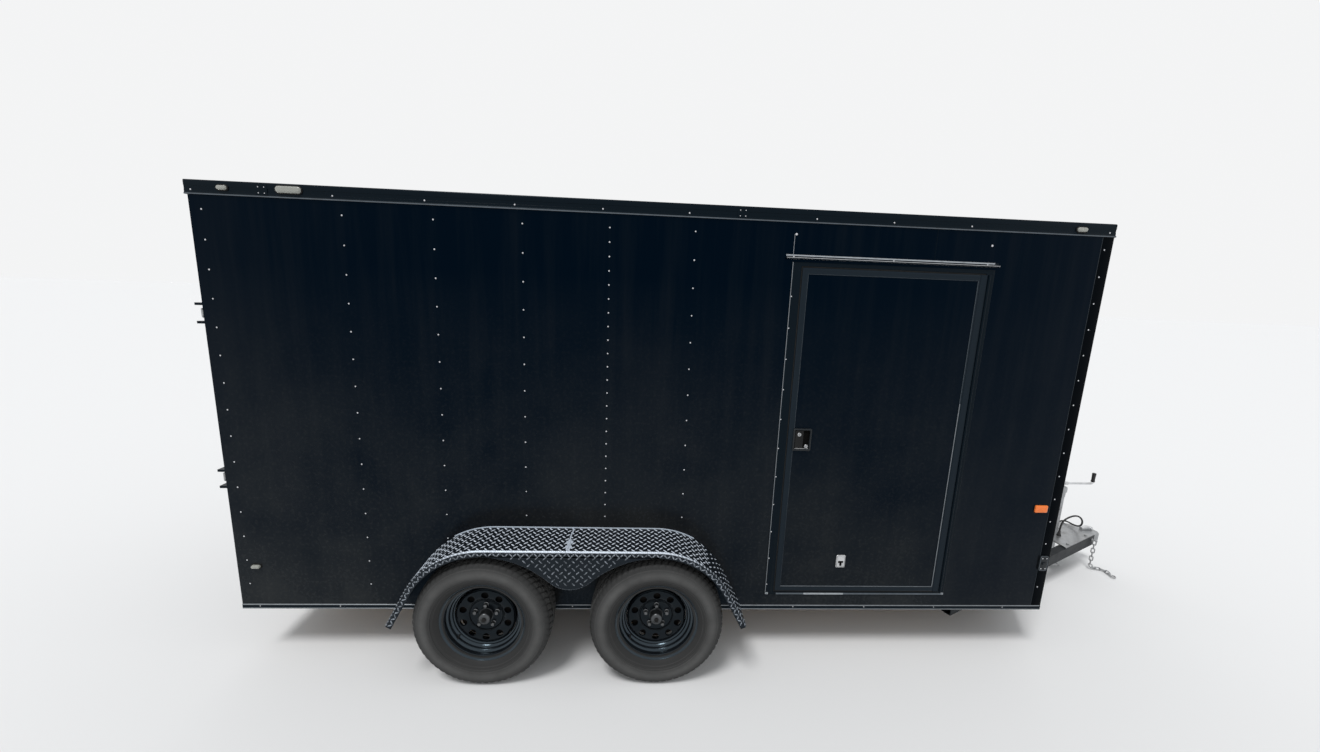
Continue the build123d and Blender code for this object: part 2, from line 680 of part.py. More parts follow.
def trim_nodes():
    """Extrusions on the outside of the body, and the stone guard on the nose."""
    inside = HALF + TOP_RAIL_PROUD - TOP_RAIL_DEPTH
    outside = HALF + TOP_RAIL_PROUD
    end = BODY_LENGTH - TRIM_GAP
    lip_top = WALL_TOP + RAIL_LIP_HEIGHT
    rail = block(0, end, -outside, -inside, WALL_TOP, ROOF_EDGE)
    rail = rail + block(0, end, -outside - RAIL_LIP_PROUD, -outside, WALL_TOP, lip_top)
    nose_rail = nose_band(-TOP_RAIL_PROUD, TOP_RAIL_DEPTH - TOP_RAIL_PROUD, WALL_TOP, ROOF_EDGE)
    nose_rail = nose_rail + nose_band(-TOP_RAIL_PROUD - RAIL_LIP_PROUD, -TOP_RAIL_PROUD, WALL_TOP, lip_top)
    nodes["top_rails"] = Compound(children=[rail, left(rail), nose_rail + left(nose_rail)])
    skirt = block(
        0, BODY_LENGTH - CORNER_LEG - TRIM_GAP, -HALF - TRIM_PROUD, -HALF,
        FRAME_BOTTOM, FRAME_BOTTOM + TRIM_HEIGHT,
    )
    nodes["skirt_trims"] = both(skirt)
    outer = HALF + CORNER_PROUD
    side_leg = block(BODY_LENGTH - CORNER_LEG, BODY_LENGTH, -outer, -HALF, FRAME_BOTTOM, WALL_TOP)
    nose_leg = nose_strip(-CORNER_PROUD, 0, 0, CORNER_LEG, FRAME_BOTTOM, WALL_TOP)
    seam = plan([(BODY_LENGTH, -HALF), (BODY_LENGTH, -outer), nose_line(-CORNER_PROUD)[0]], FRAME_BOTTOM, WALL_TOP)
    nodes["corner_trims"] = both(side_leg + nose_leg + seam)
    guard_top = FRAME_BOTTOM + GUARD_HEIGHT
    guard = nose_strip(-GUARD_PROUD, 0, CORNER_LEG + TRIM_GAP, NOSE_SIDE, FRAME_BOTTOM, guard_top)
    nodes["stone_guard"] = guard + left(guard)
    trim = nose_strip(-NOSE_TRIM_PROUD, 0, NOSE_SIDE - NOSE_TRIM_LEG, NOSE_SIDE, guard_top, WALL_TOP)
    nodes["nose_trim"] = trim + left(trim)


def rear_nodes():
    """Rear posts with the lock keepers, header, sill and ramp door, with its hinges."""
    keepers = []
    edge = CAM_HEIGHT / 2 + KEEPER_GAP
    for z in (LOCK_LOW, LOCK_HIGH):
        for sign in (-1, 1):
            z0, z1 = sorted((z + sign * edge, z + sign * (edge + KEEPER_PRONG)))
            keepers.append(
                block(-LOCK_BACK - CAM_THICKNESS / 2, 0, KEEPER_INSET - HALF, -OPENING - KEEPER_INSET, z0, z1)
            )
    post = block(0, POST_DEPTH, -HALF, -OPENING, FRAME_TOP, WALL_TOP)
    nodes["rear_posts"] = both(post.fuse(*keepers))
    nodes["rear_header"] = block(0, POST_DEPTH, -OPENING, OPENING, WALL_TOP - HEADER_HEIGHT, WALL_TOP)
    side = OPENING - RAMP_GAP
    top = WALL_TOP - HEADER_HEIGHT - RAMP_GAP
    first = 2 * KNUCKLE_LENGTH - side
    pitch = -2 * first / (KNUCKLE_PAIRS - 1)
    fixed = []
    moving = []
    for i in range(KNUCKLE_PAIRS):
        y = first + i * pitch
        barrel = rod((-PIVOT_BACK, y - KNUCKLE_LENGTH, PIVOT_Z), (-PIVOT_BACK, y, PIVOT_Z), PIVOT_RADIUS)
        strap = block(
            -PIVOT_BACK - STRAP_THICKNESS, 0, y - KNUCKLE_LENGTH, y, FRAME_TOP - SILL_STRAP, PIVOT_Z
        )
        fixed += [barrel, strap]
        near = y + KNUCKLE_GAP
        far = y + KNUCKLE_LENGTH
        barrel = rod((-PIVOT_BACK, near, PIVOT_Z), (-PIVOT_BACK, far, PIVOT_Z), PIVOT_RADIUS)
        strap = block(-PIVOT_BACK - STRAP_THICKNESS, 0, near, far, PIVOT_Z, PIVOT_Z + RAMP_STRAP)
        moving += [barrel, strap]
    sill = block(0, SILL_DEPTH, -HALF, HALF, FRAME_BOTTOM, FRAME_TOP)
    nodes["rear_sill"] = sill.fuse(*fixed)
    nodes["ramp_door"] = block(0, RAMP_THICKNESS, -side, side, PIVOT_Z, top).fuse(*moving)
    lock_y = LOCK_INSET - side
    pipe = rod(
        (-LOCK_BACK, lock_y, LOCK_LOW - LOCK_OVERRUN), (-LOCK_BACK, lock_y, LOCK_HIGH + LOCK_OVERRUN),
        LOCK_PIPE_RADIUS,
    )
    pieces = []
    half_cam = CAM_THICKNESS / 2
    for z, inward in ((LOCK_LOW, 1), (LOCK_HIGH, -1)):
        pieces.append(
            block(-LOCK_BACK - half_cam, half_cam - LOCK_BACK, POST_WIDTH / 2 - HALF, lock_y,
                  z - CAM_HEIGHT / 2, z + CAM_HEIGHT / 2)
        )
        z0, z1 = sorted((z + inward * GUIDE_OFFSET, z + inward * (GUIDE_OFFSET + GUIDE_HEIGHT)))
        pieces.append(block(-LOCK_BACK, 0, lock_y - GUIDE_WIDTH / 2, lock_y + GUIDE_WIDTH / 2, z0, z1))
    middle = (LOCK_LOW + LOCK_HIGH) / 2
    pieces.append(
        block(-LOCK_BACK - HANDLE_THICKNESS / 2, HANDLE_THICKNESS / 2 - LOCK_BACK, lock_y, lock_y + HANDLE_LENGTH,
              middle - HANDLE_HEIGHT / 2, middle + HANDLE_HEIGHT / 2)
    )
    nodes["bar_locks"] = both(pipe.fuse(*pieces))


def plate_node():
    """Blank plate holder behind the sill, left of the middle, on two legs."""
    top = FRAME_BOTTOM + PLATE_TOP_ABOVE_SILL
    back = -PLATE_STANDOFF
    sheet = block(
        back - PLATE_SHEET, back, PLATE_OFFSET - PLATE_WIDTH / 2, PLATE_OFFSET + PLATE_WIDTH / 2,
        top - PLATE_HEIGHT, top,
    )
    holder = sheet
    leg_top = top - 2 * PLATE_HOLE_INSET
    for sign in (-1, 1):
        y = PLATE_OFFSET + sign * PLATE_LEG_SPACING / 2
        holder = holder + block(
            back, 0, y - PLATE_LEG_WIDTH / 2, y + PLATE_LEG_WIDTH / 2, leg_top - PLATE_LEG_HEIGHT, leg_top
        )
        hole_y = PLATE_OFFSET + sign * PLATE_HOLE_SPACING / 2
        hole_z = top - PLATE_HOLE_INSET
        holder = holder - rod(
            (back - 2 * PLATE_SHEET, hole_y, hole_z), (back + PLATE_SHEET, hole_y, hole_z), PLATE_HOLE_RADIUS
        )
    nodes["plate_holder"] = holder


def side_door_nodes():
    """Door leaf, its casing and hinge, latch, hold-back, catch and drip rail."""
    band = block(DOOR_REAR, DOOR_FRONT, DOOR_FACE, -INNER, DOOR_BOTTOM, DOOR_TOP)
    pocket = block(
        DOOR_REAR + DOOR_BAND, DOOR_FRONT - DOOR_BAND, DOOR_FACE - DOOR_POCKET, DOOR_FACE + DOOR_POCKET,
        DOOR_BOTTOM + DOOR_BAND, DOOR_TOP - DOOR_BAND,
    )
    flange = block(
        DOOR_REAR - CASING_REAR, DOOR_FRONT + CASING_FRONT, DOOR_FACE, -HALF,
        DOOR_BOTTOM - CASING_BOTTOM, DOOR_TOP + CASING_TOP,
    )
    liner = block(
        DOOR_REAR - DOOR_GAP - JAMB, DOOR_FRONT + DOOR_GAP + JAMB, -HALF, -INNER,
        FRAME_TOP, DOOR_TOP + DOOR_GAP + JAMB,
    )
    inside = block(
        DOOR_REAR - DOOR_GAP, DOOR_FRONT + DOOR_GAP, DOOR_FACE - JAMB, -INNER + JAMB,
        DOOR_BOTTOM - DOOR_GAP, DOOR_TOP + DOOR_GAP,
    )
    nodes["door_casing"] = flange + liner - inside
    strip_start = HINGE_STATION + HINGE_RADIUS + KNUCKLE_GAP
    strip = block(
        strip_start, strip_start + HINGE_STRIP, DOOR_FACE - HINGE_LEAF, DOOR_FACE, DOOR_BOTTOM, DOOR_TOP
    )
    span = (DOOR_TOP - DOOR_BOTTOM) / (2 * HINGE_KNUCKLES)
    fixed = []
    moving = []
    for i in range(HINGE_KNUCKLES):
        for pieces, low, x0, x1 in (
            (fixed, DOOR_BOTTOM + 2 * i * span, HINGE_STATION, strip_start),
            (moving, DOOR_BOTTOM + (2 * i + 1) * span, DOOR_FRONT - HINGE_STRAP, HINGE_STATION),
        ):
            high = low + span - KNUCKLE_GAP
            pieces.append(rod((HINGE_STATION, HINGE_Y, low), (HINGE_STATION, HINGE_Y, high), HINGE_RADIUS))
            pieces.append(block(x0, x1, DOOR_FACE - HINGE_LEAF, DOOR_FACE, low, high))
    nodes["door_hinge"] = strip.fuse(*fixed)
    nodes["side_door"] = (band - pocket).fuse(*moving)
    panel = DOOR_FACE + DOOR_POCKET
    nodes["door_latch"] = latch(DOOR_REAR + DOOR_BAND, panel)
    width, proud, height = HOLDBACK_PLATE
    plate = block(
        HOLDBACK_STATION - width / 2, HOLDBACK_STATION + width / 2, panel - proud, panel,
        HOLDBACK_HEIGHT - height / 2, HOLDBACK_HEIGHT + height / 2,
    )
    slot_face = panel - proud
    cross = block(
        HOLDBACK_STATION - SLOT_WIDTH / 2, HOLDBACK_STATION + SLOT_WIDTH / 2, slot_face - SLOT_DEPTH,
        slot_face + SLOT_DEPTH, HOLDBACK_HEIGHT - SLOT_STEM, HOLDBACK_HEIGHT,
    )
    stem = block(
        HOLDBACK_STATION - SLOT_STEM / 2, HOLDBACK_STATION + SLOT_STEM / 2, slot_face - SLOT_DEPTH,
        slot_face + SLOT_DEPTH, HOLDBACK_HEIGHT - SLOT_HEIGHT, HOLDBACK_HEIGHT,
    )
    nodes["door_holdback"] = plate - cross - stem
    middle = 2 * HINGE_STATION - HOLDBACK_STATION
    surface = -(HALF + CORNER_PROUD)
    width, proud, height = CATCH_PLATE
    base = block(
        middle - width / 2, middle + width / 2, surface - proud, surface,
        HOLDBACK_HEIGHT - height / 2, HOLDBACK_HEIGHT + height / 2,
    )
    width, reach, height = CATCH_STUD
    stud = block(
        middle - width / 2, middle + width / 2, surface - proud - reach, surface - proud,
        HOLDBACK_HEIGHT - height / 2, HOLDBACK_HEIGHT + height / 2,
    )
    nodes["holdback_catch"] = base + stud
    low = DOOR_TOP + CASING_TOP + DRIP_ABOVE
    x0 = DOOR_REAR - CASING_REAR - DRIP_OVERHANG_REAR
    x1 = DOOR_FRONT + CASING_FRONT + DRIP_OVERHANG_FRONT
    rail = block(x0, x1, -HALF - DRIP_DEPTH / 2, -HALF, low, low + DRIP_HEIGHT)
    lip = block(x0, x1, -HALF - DRIP_DEPTH, -HALF - DRIP_DEPTH / 2, low, low + DRIP_LIP)
    nodes["drip_rail"] = rail + lip


def latch(x0, surface):
    """Flush latch: a rimmed plate with a paddle and two key cylinders in its pocket."""
    width, proud, height = LATCH_PLATE
    z0 = DOOR_BOTTOM + LATCH_RISE - height / 2
    z1 = z0 + height
    face = surface - proud
    plate = block(x0, x0 + width, face, surface, z0, z1)
    floor = face + LATCH_POCKET
    pocket = block(x0 + LATCH_RIM, x0 + width - LATCH_RIM, face - LATCH_RIM, floor, z0 + LATCH_RIM, z1 - LATCH_RIM)
    paddle = block(
        x0 + LATCH_RIM, x0 + LATCH_RIM + PADDLE_WIDTH, floor - PADDLE_PROUD, floor,
        z0 + LATCH_RIM, z1 - LATCH_RIM,
    )
    keys = [
        rod((x, floor, z), (x, face, z), KEY_RADIUS)
        for x, z in (
            (x0 + LATCH_RIM + PADDLE_WIDTH / 2, z1 - 3 * KEY_RADIUS),
            (x0 + width - LATCH_RIM - KEY_GAP - KEY_RADIUS, z0 + LATCH_RIM + KEY_GAP + KEY_RADIUS),
        )
    ]
    return (plate - pocket).fuse(paddle, *keys)


def fender_profile(y, inset):
    """Edges of the fender's outer outline, pulled in by a distance, in the plane y."""
    turn = radians(FENDER_LEG_ANGLE)
    arc = FENDER_ARC - inset
    top = FENDER_TOP - inset
    leg_drop = FENDER_TOP - FENDER_TIP - FENDER_ARC * (1 - cos(turn))
    flat = FENDER_LENGTH / 2 - FENDER_ARC * sin(turn) - leg_drop / tan(turn)
    arc_centre_z = top - arc

    def on_arc(angle):
        return (AXLES_MIDDLE + flat + arc * sin(angle), arc_centre_z + arc * cos(angle))

    end = on_arc(turn)
    tip = (end[0] + (end[1] - FENDER_TIP) / tan(turn), FENDER_TIP)
    start = on_arc(0)
    mid = on_arc(turn / 2)

    def here(point):
        return (point[0], y, point[1])

    def flipped(point):
        return (2 * AXLES_MIDDLE - point[0], y, point[1])

    return [
        Line(flipped(tip), flipped(end)),
        ThreePointArc(flipped(end), flipped(mid), flipped(start)),
        Line(flipped(start), here(start)),
        ThreePointArc(here(start), here(mid), here(end)),
        Line(here(end), here(tip)),
        Line(here(tip), flipped(tip)),
    ]


def fender():
    """Tandem fender: bent top sheet, outer lip and the drop between the wheels."""
    y_out = -(HALF + FENDER_WIDTH)
    y_in = -HALF
    margin = FENDER_SHEET
    shell = side_view(fender_profile(y_out, 0), y_out, y_in) - side_view(
        fender_profile(y_out - margin, FENDER_SHEET), y_out - margin, y_in + margin
    )
    lip = side_view(fender_profile(y_out, 0), y_out, y_out + FENDER_SHEET) - side_view(
        fender_profile(y_out - margin, FENDER_LIP), y_out - margin, y_out + FENDER_SHEET + margin
    )
    rear_x = WHEEL_STATIONS["rear"]
    front_x = WHEEL_STATIONS["front"]
    peak = FENDER_TOP - FENDER_LIP
    under_top = FENDER_TOP - FENDER_SHEET / 2
    arch_z = peak - ARCH_RADIUS
    half_base = (front_x - rear_x) / 2
    reach = ARCH_RADIUS + TEAR_RADIUS
    tear_z = arch_z + sqrt(reach ** 2 - half_base ** 2)
    share = ARCH_RADIUS / reach
    touch = (rear_x + half_base * share, arch_z + (tear_z - arch_z) * share)
    lean = (tear_z - arch_z) / reach
    between = sqrt((1 - lean) / 2)
    arch_mid = (rear_x + ARCH_RADIUS * between, arch_z + ARCH_RADIUS * sqrt(1 - between ** 2))

    def here(x, z):
        return (x, y_out, z)

    def flipped(x, z):
        return (2 * AXLES_MIDDLE - x, y_out, z)

    drop = side_view(
        [
            ThreePointArc(here(rear_x, peak), here(*arch_mid), here(*touch)),
            ThreePointArc(here(*touch), here(AXLES_MIDDLE, tear_z - TEAR_RADIUS), flipped(*touch)),
            ThreePointArc(flipped(*touch), flipped(*arch_mid), here(front_x, peak)),
            Line(here(front_x, peak), here(front_x, under_top)),
            Line(here(front_x, under_top), here(rear_x, under_top)),
            Line(here(rear_x, under_top), here(rear_x, peak)),
        ],
        y_out, y_out + FENDER_SHEET,
    )
    return shell + lip + drop


def wheel_place(x, y_sign):
    """Plane at a wheel's middle: its x axis points outwards, its z axis forward."""
    return Plane(origin=(x, y_sign * WHEEL_Y, AXLE_HEIGHT), x_dir=(0, y_sign, 0), z_dir=(1, 0, 0))


def turned(points, place):
    """Solid of revolution about a wheel's axle; points are (distance from the
    wheel's middle plane towards the outside, radius)."""
    outline = make_face(Polyline(*[(y, r, 0) for y, r in points], close=True))
    return revolve(outline, Axis.X, 360).moved(place.location)


def faceted(points, sides, place):
    """Ring about a wheel's axle with flat facets, from the same kind of points."""
    step = 2 * pi / sides
    rings = [[(y, r * cos(i * step), r * sin(i * step)) for i in range(sides)] for y, r in points]
    faces = []
    for ring, after in zip(rings, rings[1:] + rings[:1]):
        for i in range(sides):
            k = (i + 1) % sides
            faces.append(make_face(Polyline(ring[i], ring[k], after[k], after[i], close=True)))
    return Solid(Shell(faces)).moved(place.location)


def tyre(place):
    """Tyre with flat tread and bulged sidewalls, on the rim's bead seats."""
    half_tyre = TYRE_WIDTH / 2
    half_rim = RIM_WIDTH / 2
    seat = half_rim - RIM_THICKNESS
    outside = 1 / cos(pi / TYRE_SIDES)
    flange = (RIM_FLANGE_RADIUS + 1) * outside
    half = [
        (seat, BEAD_RADIUS * outside),
        (seat, flange),
        (half_tyre, TYRE_RADIUS - BULGE_DROP),
        (half_tyre - SHOULDER_IN / 3, TYRE_RADIUS - BULGE_DROP / 2),
        (half_tyre - SHOULDER_IN, TYRE_RADIUS - SHOULDER_DROP),
        (TREAD_HALF, TYRE_RADIUS),
    ]
    inner = [(-y, r) for y, r in half]
    return faceted(inner + half[::-1], TYRE_SIDES, place)


def rim(x, y_sign, place):
    """Rim with its disc, hub cap, nuts and brake drum, bored for the spindle."""
    t = RIM_THICKNESS
    half = RIM_WIDTH / 2
    outer = [
        (half, RIM_FLANGE_RADIUS), (half - t, RIM_FLANGE_RADIUS), (half - t, BEAD_RADIUS),
        (half / 2, BEAD_RADIUS - t / 2), (half / 3, RIM_WELL_RADIUS + t),
    ]
    inner = [
        (half / 3, RIM_WELL_RADIUS), (half / 2, BEAD_RADIUS - 3 * t / 2), (half, BEAD_RADIUS - t),
    ]
    barrel = turned(
        [(-y, r) for y, r in outer] + outer[::-1] + inner[::-1] + [(-y, r) for y, r in inner], place
    )
    seat = LUG_CIRCLE + 2 * LUG_RADIUS
    slope_end = seat + DISC_SLOPE
    root = RIM_WELL_RADIUS - DISC_ROOT
    disc = turned(
        [(0, 0), (DISC_THICKNESS, 0), (DISC_THICKNESS, seat), (DISC_THICKNESS + DISC_CROWN, slope_end),
         (DISC_CROWN, root), (0, RIM_WELL_RADIUS + t / 2), (-t, RIM_WELL_RADIUS + t / 2),
         (DISC_CROWN / 2, root - 2 * DISC_SKIN), (DISC_CROWN, slope_end + DISC_SKIN), (0, seat + DISC_SKIN)],
        place,
    )
    back = -DRUM_DEPTH
    bore = SPINDLE_RADIUS + SPINDLE_GAP
    step = DRUM_WALL + DISC_SKIN
    drum = turned(
        [(back, bore), (0, bore), (0, DRUM_RADIUS - DRUM_WALL), (-DRUM_WALL, DRUM_RADIUS), (back, DRUM_RADIUS),
         (back, DRUM_RADIUS - DRUM_WALL), (-step, DRUM_RADIUS - DRUM_WALL), (-step, HUB_RADIUS), (back, HUB_RADIUS)],
        place,
    )
    cap_end = DISC_THICKNESS + CAP_LENGTH
    cap = turned(
        [(0, 0), (cap_end, 0), (cap_end, CAP_RADIUS - CAP_CHAMFER), (cap_end - CAP_CHAMFER, CAP_RADIUS),
         (0, CAP_RADIUS)],
        place,
    )

    def ring_of(count, circle, near, far, radius):
        rods = []
        for i in range(count):
            angle = 2 * pi * i / count
            px = x + circle * sin(angle)
            pz = AXLE_HEIGHT + circle * cos(angle)
            rods.append(rod((px, y_sign * (WHEEL_Y + near), pz), (px, y_sign * (WHEEL_Y + far), pz), radius))
        return rods

    holes = ring_of(DISC_HOLES, DISC_HOLE_CIRCLE, -DISC_CROWN, 3 * DISC_CROWN, DISC_HOLE_RADIUS)
    nuts = ring_of(LUGS, LUG_CIRCLE, 1, DISC_THICKNESS + LUG_HEIGHT, LUG_RADIUS)
    return (barrel + disc - holes).fuse(drum, cap, *nuts)


def wheel_nodes():
    """Four wheels, and the torsion axles that carry them."""
    beam_z = TONGUE_BOTTOM + BEAM_SIZE / 2
    drop = AXLE_HEIGHT - beam_z
    ahead = sqrt(ARM_LENGTH ** 2 - drop ** 2)
    half_beam = BEAM_SIZE / 2
    half_arm = ARM_WIDTH / 2
    plate_out = WHEEL_Y - DRUM_DEPTH - RUN_GAP
    plate_in = plate_out - BACKING_THICKNESS
    arm_in = HALF + TRIM_PROUD + ARM_GAP
    arm_out = arm_in + ARM_THICKNESS
    across = (drop / ARM_LENGTH * half_arm, ahead / ARM_LENGTH * half_arm)
    arms = []
    beams = []
    for end, x in WHEEL_STATIONS.items():
        for side, sign in (("right", -1), ("left", 1)):
            place = wheel_place(x, sign)
            nodes["tyre_%s_%s" % (end, side)] = tyre(place)
            nodes["rim_%s_%s" % (end, side)] = rim(x, sign, place)
        root_x = x + ahead

        def bar(px, pz, y0, y1, radius):
            return rod((px, -y0, pz), (px, -y1, pz), radius)

        corners = [
            (root_x + across[0], beam_z + across[1]), (x + across[0], AXLE_HEIGHT + across[1]),
            (x - across[0], AXLE_HEIGHT - across[1]), (root_x - across[0], beam_z - across[1]),
        ]
        web = side_view(Polyline(*[(px, -arm_out, pz) for px, pz in corners], close=True), -arm_out, -arm_in)
        stub = bar(root_x, beam_z, HALF - STUB_DEPTH, arm_in, STUB_RADIUS)
        arm = web.fuse(
            bar(x, AXLE_HEIGHT, arm_in, arm_out, half_arm),
            bar(root_x, beam_z, arm_in, arm_out, half_arm),
            bar(x, AXLE_HEIGHT, arm_out, WHEEL_Y - SPINDLE_GAP, SPINDLE_RADIUS),
            bar(x, AXLE_HEIGHT, plate_in, plate_out, BACKING_RADIUS),
            stub,
        )
        arms.append(arm)
        tube = block(root_x - half_beam, root_x + half_beam, -RAIL_OUT, RAIL_OUT, TONGUE_BOTTOM, FRAME_BOTTOM)
        beams.append(tube - stub - left(stub))
    nodes["axle_arms"] = both(*arms)
    nodes["axle_beams"] = Compound(children=beams)


def pill(centre, normal, length, height, proud):
    """Lamp lens with full round ends: its back's centre, the way it faces, its size."""
    place = Plane(origin=centre, x_dir=(normal[1], normal[0], 0), z_dir=normal)
    return extrude(place * SlotOverall(length, height), amount=proud)


def lamp_nodes():
    """Marker lamps on the side walls, tail lamps on the sill and header."""
    lamps = []
    for end, distance, level, rise, length, height in SIDE_LAMPS:
        station = distance if end == "rear" else BODY_LENGTH - distance
        z = rise + (ROOF_EDGE if level == "roof" else FRAME_BOTTOM)
        surface = HALF + (TOP_RAIL_PROUD if level == "roof" else 0.0)
        lamps.append(pill((station, -surface, z), (0, -1, 0), length, height, LAMP_PROUD))
    nodes["marker_lamps"] = both(*lamps)
    length, proud, height = AMBER_SIZE
    station = BODY_LENGTH - AMBER_BACK
    z = FRAME_BOTTOM + AMBER_RISE
    amber = block(
        station - length / 2, station + length / 2, -HALF - proud, -HALF - CORNER_PROUD,
        z - height / 2, z + height / 2,
    )
    seat = block(
        station - length / 2, BODY_LENGTH - CORNER_LEG, -HALF - CORNER_PROUD, -HALF,
        z - height / 2, z + height / 2,
    )
    nodes["amber_markers"] = both(amber + seat)
    length, proud, height = TAIL_LAMP
    tail_z = (FRAME_BOTTOM + FRAME_TOP) / 2 - TAIL_DROP
    tails = [pill((0, sign * (HALF - TAIL_INSET), tail_z), (-1, 0, 0), length, height, proud) for sign in (-1, 1)]
    length, proud, height = HEADER_LAMP
    for i in (-1, 0, 1):
        centre = (0, i * HEADER_LAMP_SPACING, WALL_TOP - HEADER_LAMP_DROP)
        tails.append(pill(centre, (-1, 0, 0), length, height, proud))
    nodes["tail_lamps"] = Compound(children=tails)


frame_nodes()
tongue_nodes()
jack_nodes()
chain_nodes()
cord_nodes()
body_nodes()
trim_nodes()
rear_nodes()
plate_node()
side_door_nodes()
right_fender = fender()
nodes["fenders"] = both(right_fender)
wheel_nodes()
lamp_nodes()

os.makedirs("parts", exist_ok=True)
for name, shape in nodes.items():
    export_step(shape.moved(Location((-MIDDLE, 0, 0))), "parts/" + name + ".step")
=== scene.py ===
"""Enclosed cargo trailer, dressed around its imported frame.

Places are in millimetres: station s along the trailer from the side wall's rear
edge, distance d out of a wall's skin, height z above the ground.  piece() turns
them into the frame's metres.
"""

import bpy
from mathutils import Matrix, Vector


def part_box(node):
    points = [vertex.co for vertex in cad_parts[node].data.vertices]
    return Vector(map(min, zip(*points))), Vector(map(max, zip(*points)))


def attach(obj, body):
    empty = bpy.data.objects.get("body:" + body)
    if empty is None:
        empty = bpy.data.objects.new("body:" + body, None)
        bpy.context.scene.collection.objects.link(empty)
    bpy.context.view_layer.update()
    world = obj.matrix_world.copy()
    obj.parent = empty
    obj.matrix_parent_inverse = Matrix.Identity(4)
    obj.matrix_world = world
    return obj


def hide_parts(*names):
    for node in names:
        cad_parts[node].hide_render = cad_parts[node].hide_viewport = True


bl_info = {
    "name": "Enclosed cargo trailer",
    "version": (1, 0, 0),
    "blender": (4, 5, 0),
    "location": "View3D > Sidebar > Trailer",
    "description": "Skins, trims, wheels, hitch and fittings of an enclosed cargo trailer",
    "category": "Add Mesh",
}

import bmesh
import bpy
import numpy as np
from bpy.props import FloatProperty, FloatVectorProperty, IntProperty, PointerProperty
from mathutils import Matrix, Vector

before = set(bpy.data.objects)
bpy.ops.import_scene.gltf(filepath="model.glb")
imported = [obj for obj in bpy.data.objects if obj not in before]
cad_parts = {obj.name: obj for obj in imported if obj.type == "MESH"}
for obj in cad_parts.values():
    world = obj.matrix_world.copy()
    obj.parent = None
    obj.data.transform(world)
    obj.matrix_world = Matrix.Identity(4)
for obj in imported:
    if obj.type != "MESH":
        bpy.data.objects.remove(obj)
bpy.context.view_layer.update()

# Row x of station 0, in millimetres
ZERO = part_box("skirt_trims")[0].x * 1000.0
UP = np.array([0.0, 0.0, 1.0])


def mm_box(node):
    """Lowest and highest corner of a CAD node: station, y and height in millimetres."""
    low, high = (np.array(corner) * 1000.0 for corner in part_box(node))
    shift = np.array([ZERO, 0.0, 0.0])
    return low - shift, high - shift


# Side wall: its inner face and foot, then its front end, outer face and top
(_, INNER, FOOT), (CORNER, HALF, RAIL_FOOT) = mm_box("wall_left")
ROOF_EDGE = mm_box("top_rails")[1][2]
NOSE_TIP = mm_box("nose_walls")[1][0]
NOSE_LONG = NOSE_TIP - CORNER
NOSE_SIDE = np.hypot(NOSE_LONG, HALF)
NOSE_TURN = np.arctan2(HALF, NOSE_LONG)
GUARD_TOP = mm_box("stone_guard")[1][2]
DOOR_LOW, DOOR_HIGH = mm_box("side_door")
CASING_LOW, CASING_HIGH = mm_box("door_casing")
LEAF_WIDTH = 922.0
DOOR_REAR = DOOR_LOW[0]
DOOR_FRONT = DOOR_REAR + LEAF_WIDTH
FENDER_LOW, FENDER_HIGH = mm_box("fenders")
AXLES_MIDDLE = (FENDER_LOW[0] + FENDER_HIGH[0]) / 2
WHEELS = {
    name: mm_box("tyre_" + name)
    for name in ("rear_right", "front_right", "rear_left", "front_left")
}
TYRE_RADIUS = (WHEELS["rear_right"][1][2] - WHEELS["rear_right"][0][2]) / 2

# Slants that mitre a run at the body's corner and at the nose's tip
CORNER_CUT = np.tan(NOSE_TURN / 2)
TIP_CUT = 1.0 / np.tan(NOSE_TURN)

# Screw grid of the side walls
STUD_PITCH = 406.4
FIRST_STUD = 53.0
SECOND_STUD = 663.0
STUDS_AHEAD = 9
ROW_TOP = 2275.0
ROW_PITCH = 132.7
ROWS = 15

# Sheets: joint between two, their overlap past it, their thickness and grid step
SEAM = 1882.0
LAP = 9.0
SKIN_THICK = 0.8
CELL = 30.0
# Distance from the door casing to the sheet joint above the door
SHEET_AHEAD = 706.0
# Width of the frame round the door leaf
BAND = 32.0

# Fenders: thickness, radius of the bend, depth of the lip, height of a tread mark
FENDER_PLATE = 3.0
FENDER_BEND = 9.0
FENDER_LIP = 32.0
MARK_HEIGHT = 1.3


# Shapes: numpy arrays of vertices, and lists of face arrays with one width each


def unit(vector):
    """The vector at length one, along its last axis."""
    vector = np.asarray(vector, float)
    return vector / np.linalg.norm(vector, axis=-1, keepdims=True)


def full_turn(count):
    """Angles evenly round a circle."""
    return np.linspace(0, 2 * np.pi, count, endpoint=False)


def swing(turn, start, end):
    """Directions at angles from start towards end, which is square to it."""
    return np.cos(turn)[..., None] * start + np.sin(turn)[..., None] * end


def join(*shapes):
    """Several shapes as one, with the later faces counted on from the earlier ones."""
    verts = np.concatenate([shape[0] for shape in shapes])
    starts = np.cumsum([0] + [len(shape[0]) for shape in shapes])
    by_width = {}
    for start, (_, faces) in zip(starts, shapes):
        for block in faces:
            by_width.setdefault(block.shape[1], []).append(block + start)
    return verts, [np.concatenate(blocks) for blocks in by_width.values()]


def quads(index):
    """Quads between neighbours of index[u, v]."""
    return np.stack([index[:-1, :-1], index[1:, :-1], index[1:, 1:], index[:-1, 1:]], -1)


def grid(points, close_u=False, close_v=False):
    """Quads between neighbours of points[u, v]."""
    index = np.arange(points[..., 0].size).reshape(points.shape[:2])
    if close_u:
        index = np.vstack([index, index[:1]])
    if close_v:
        index = np.hstack([index, index[:, :1]])
    return points.reshape(-1, 3), [quads(index).reshape(-1, 4)]


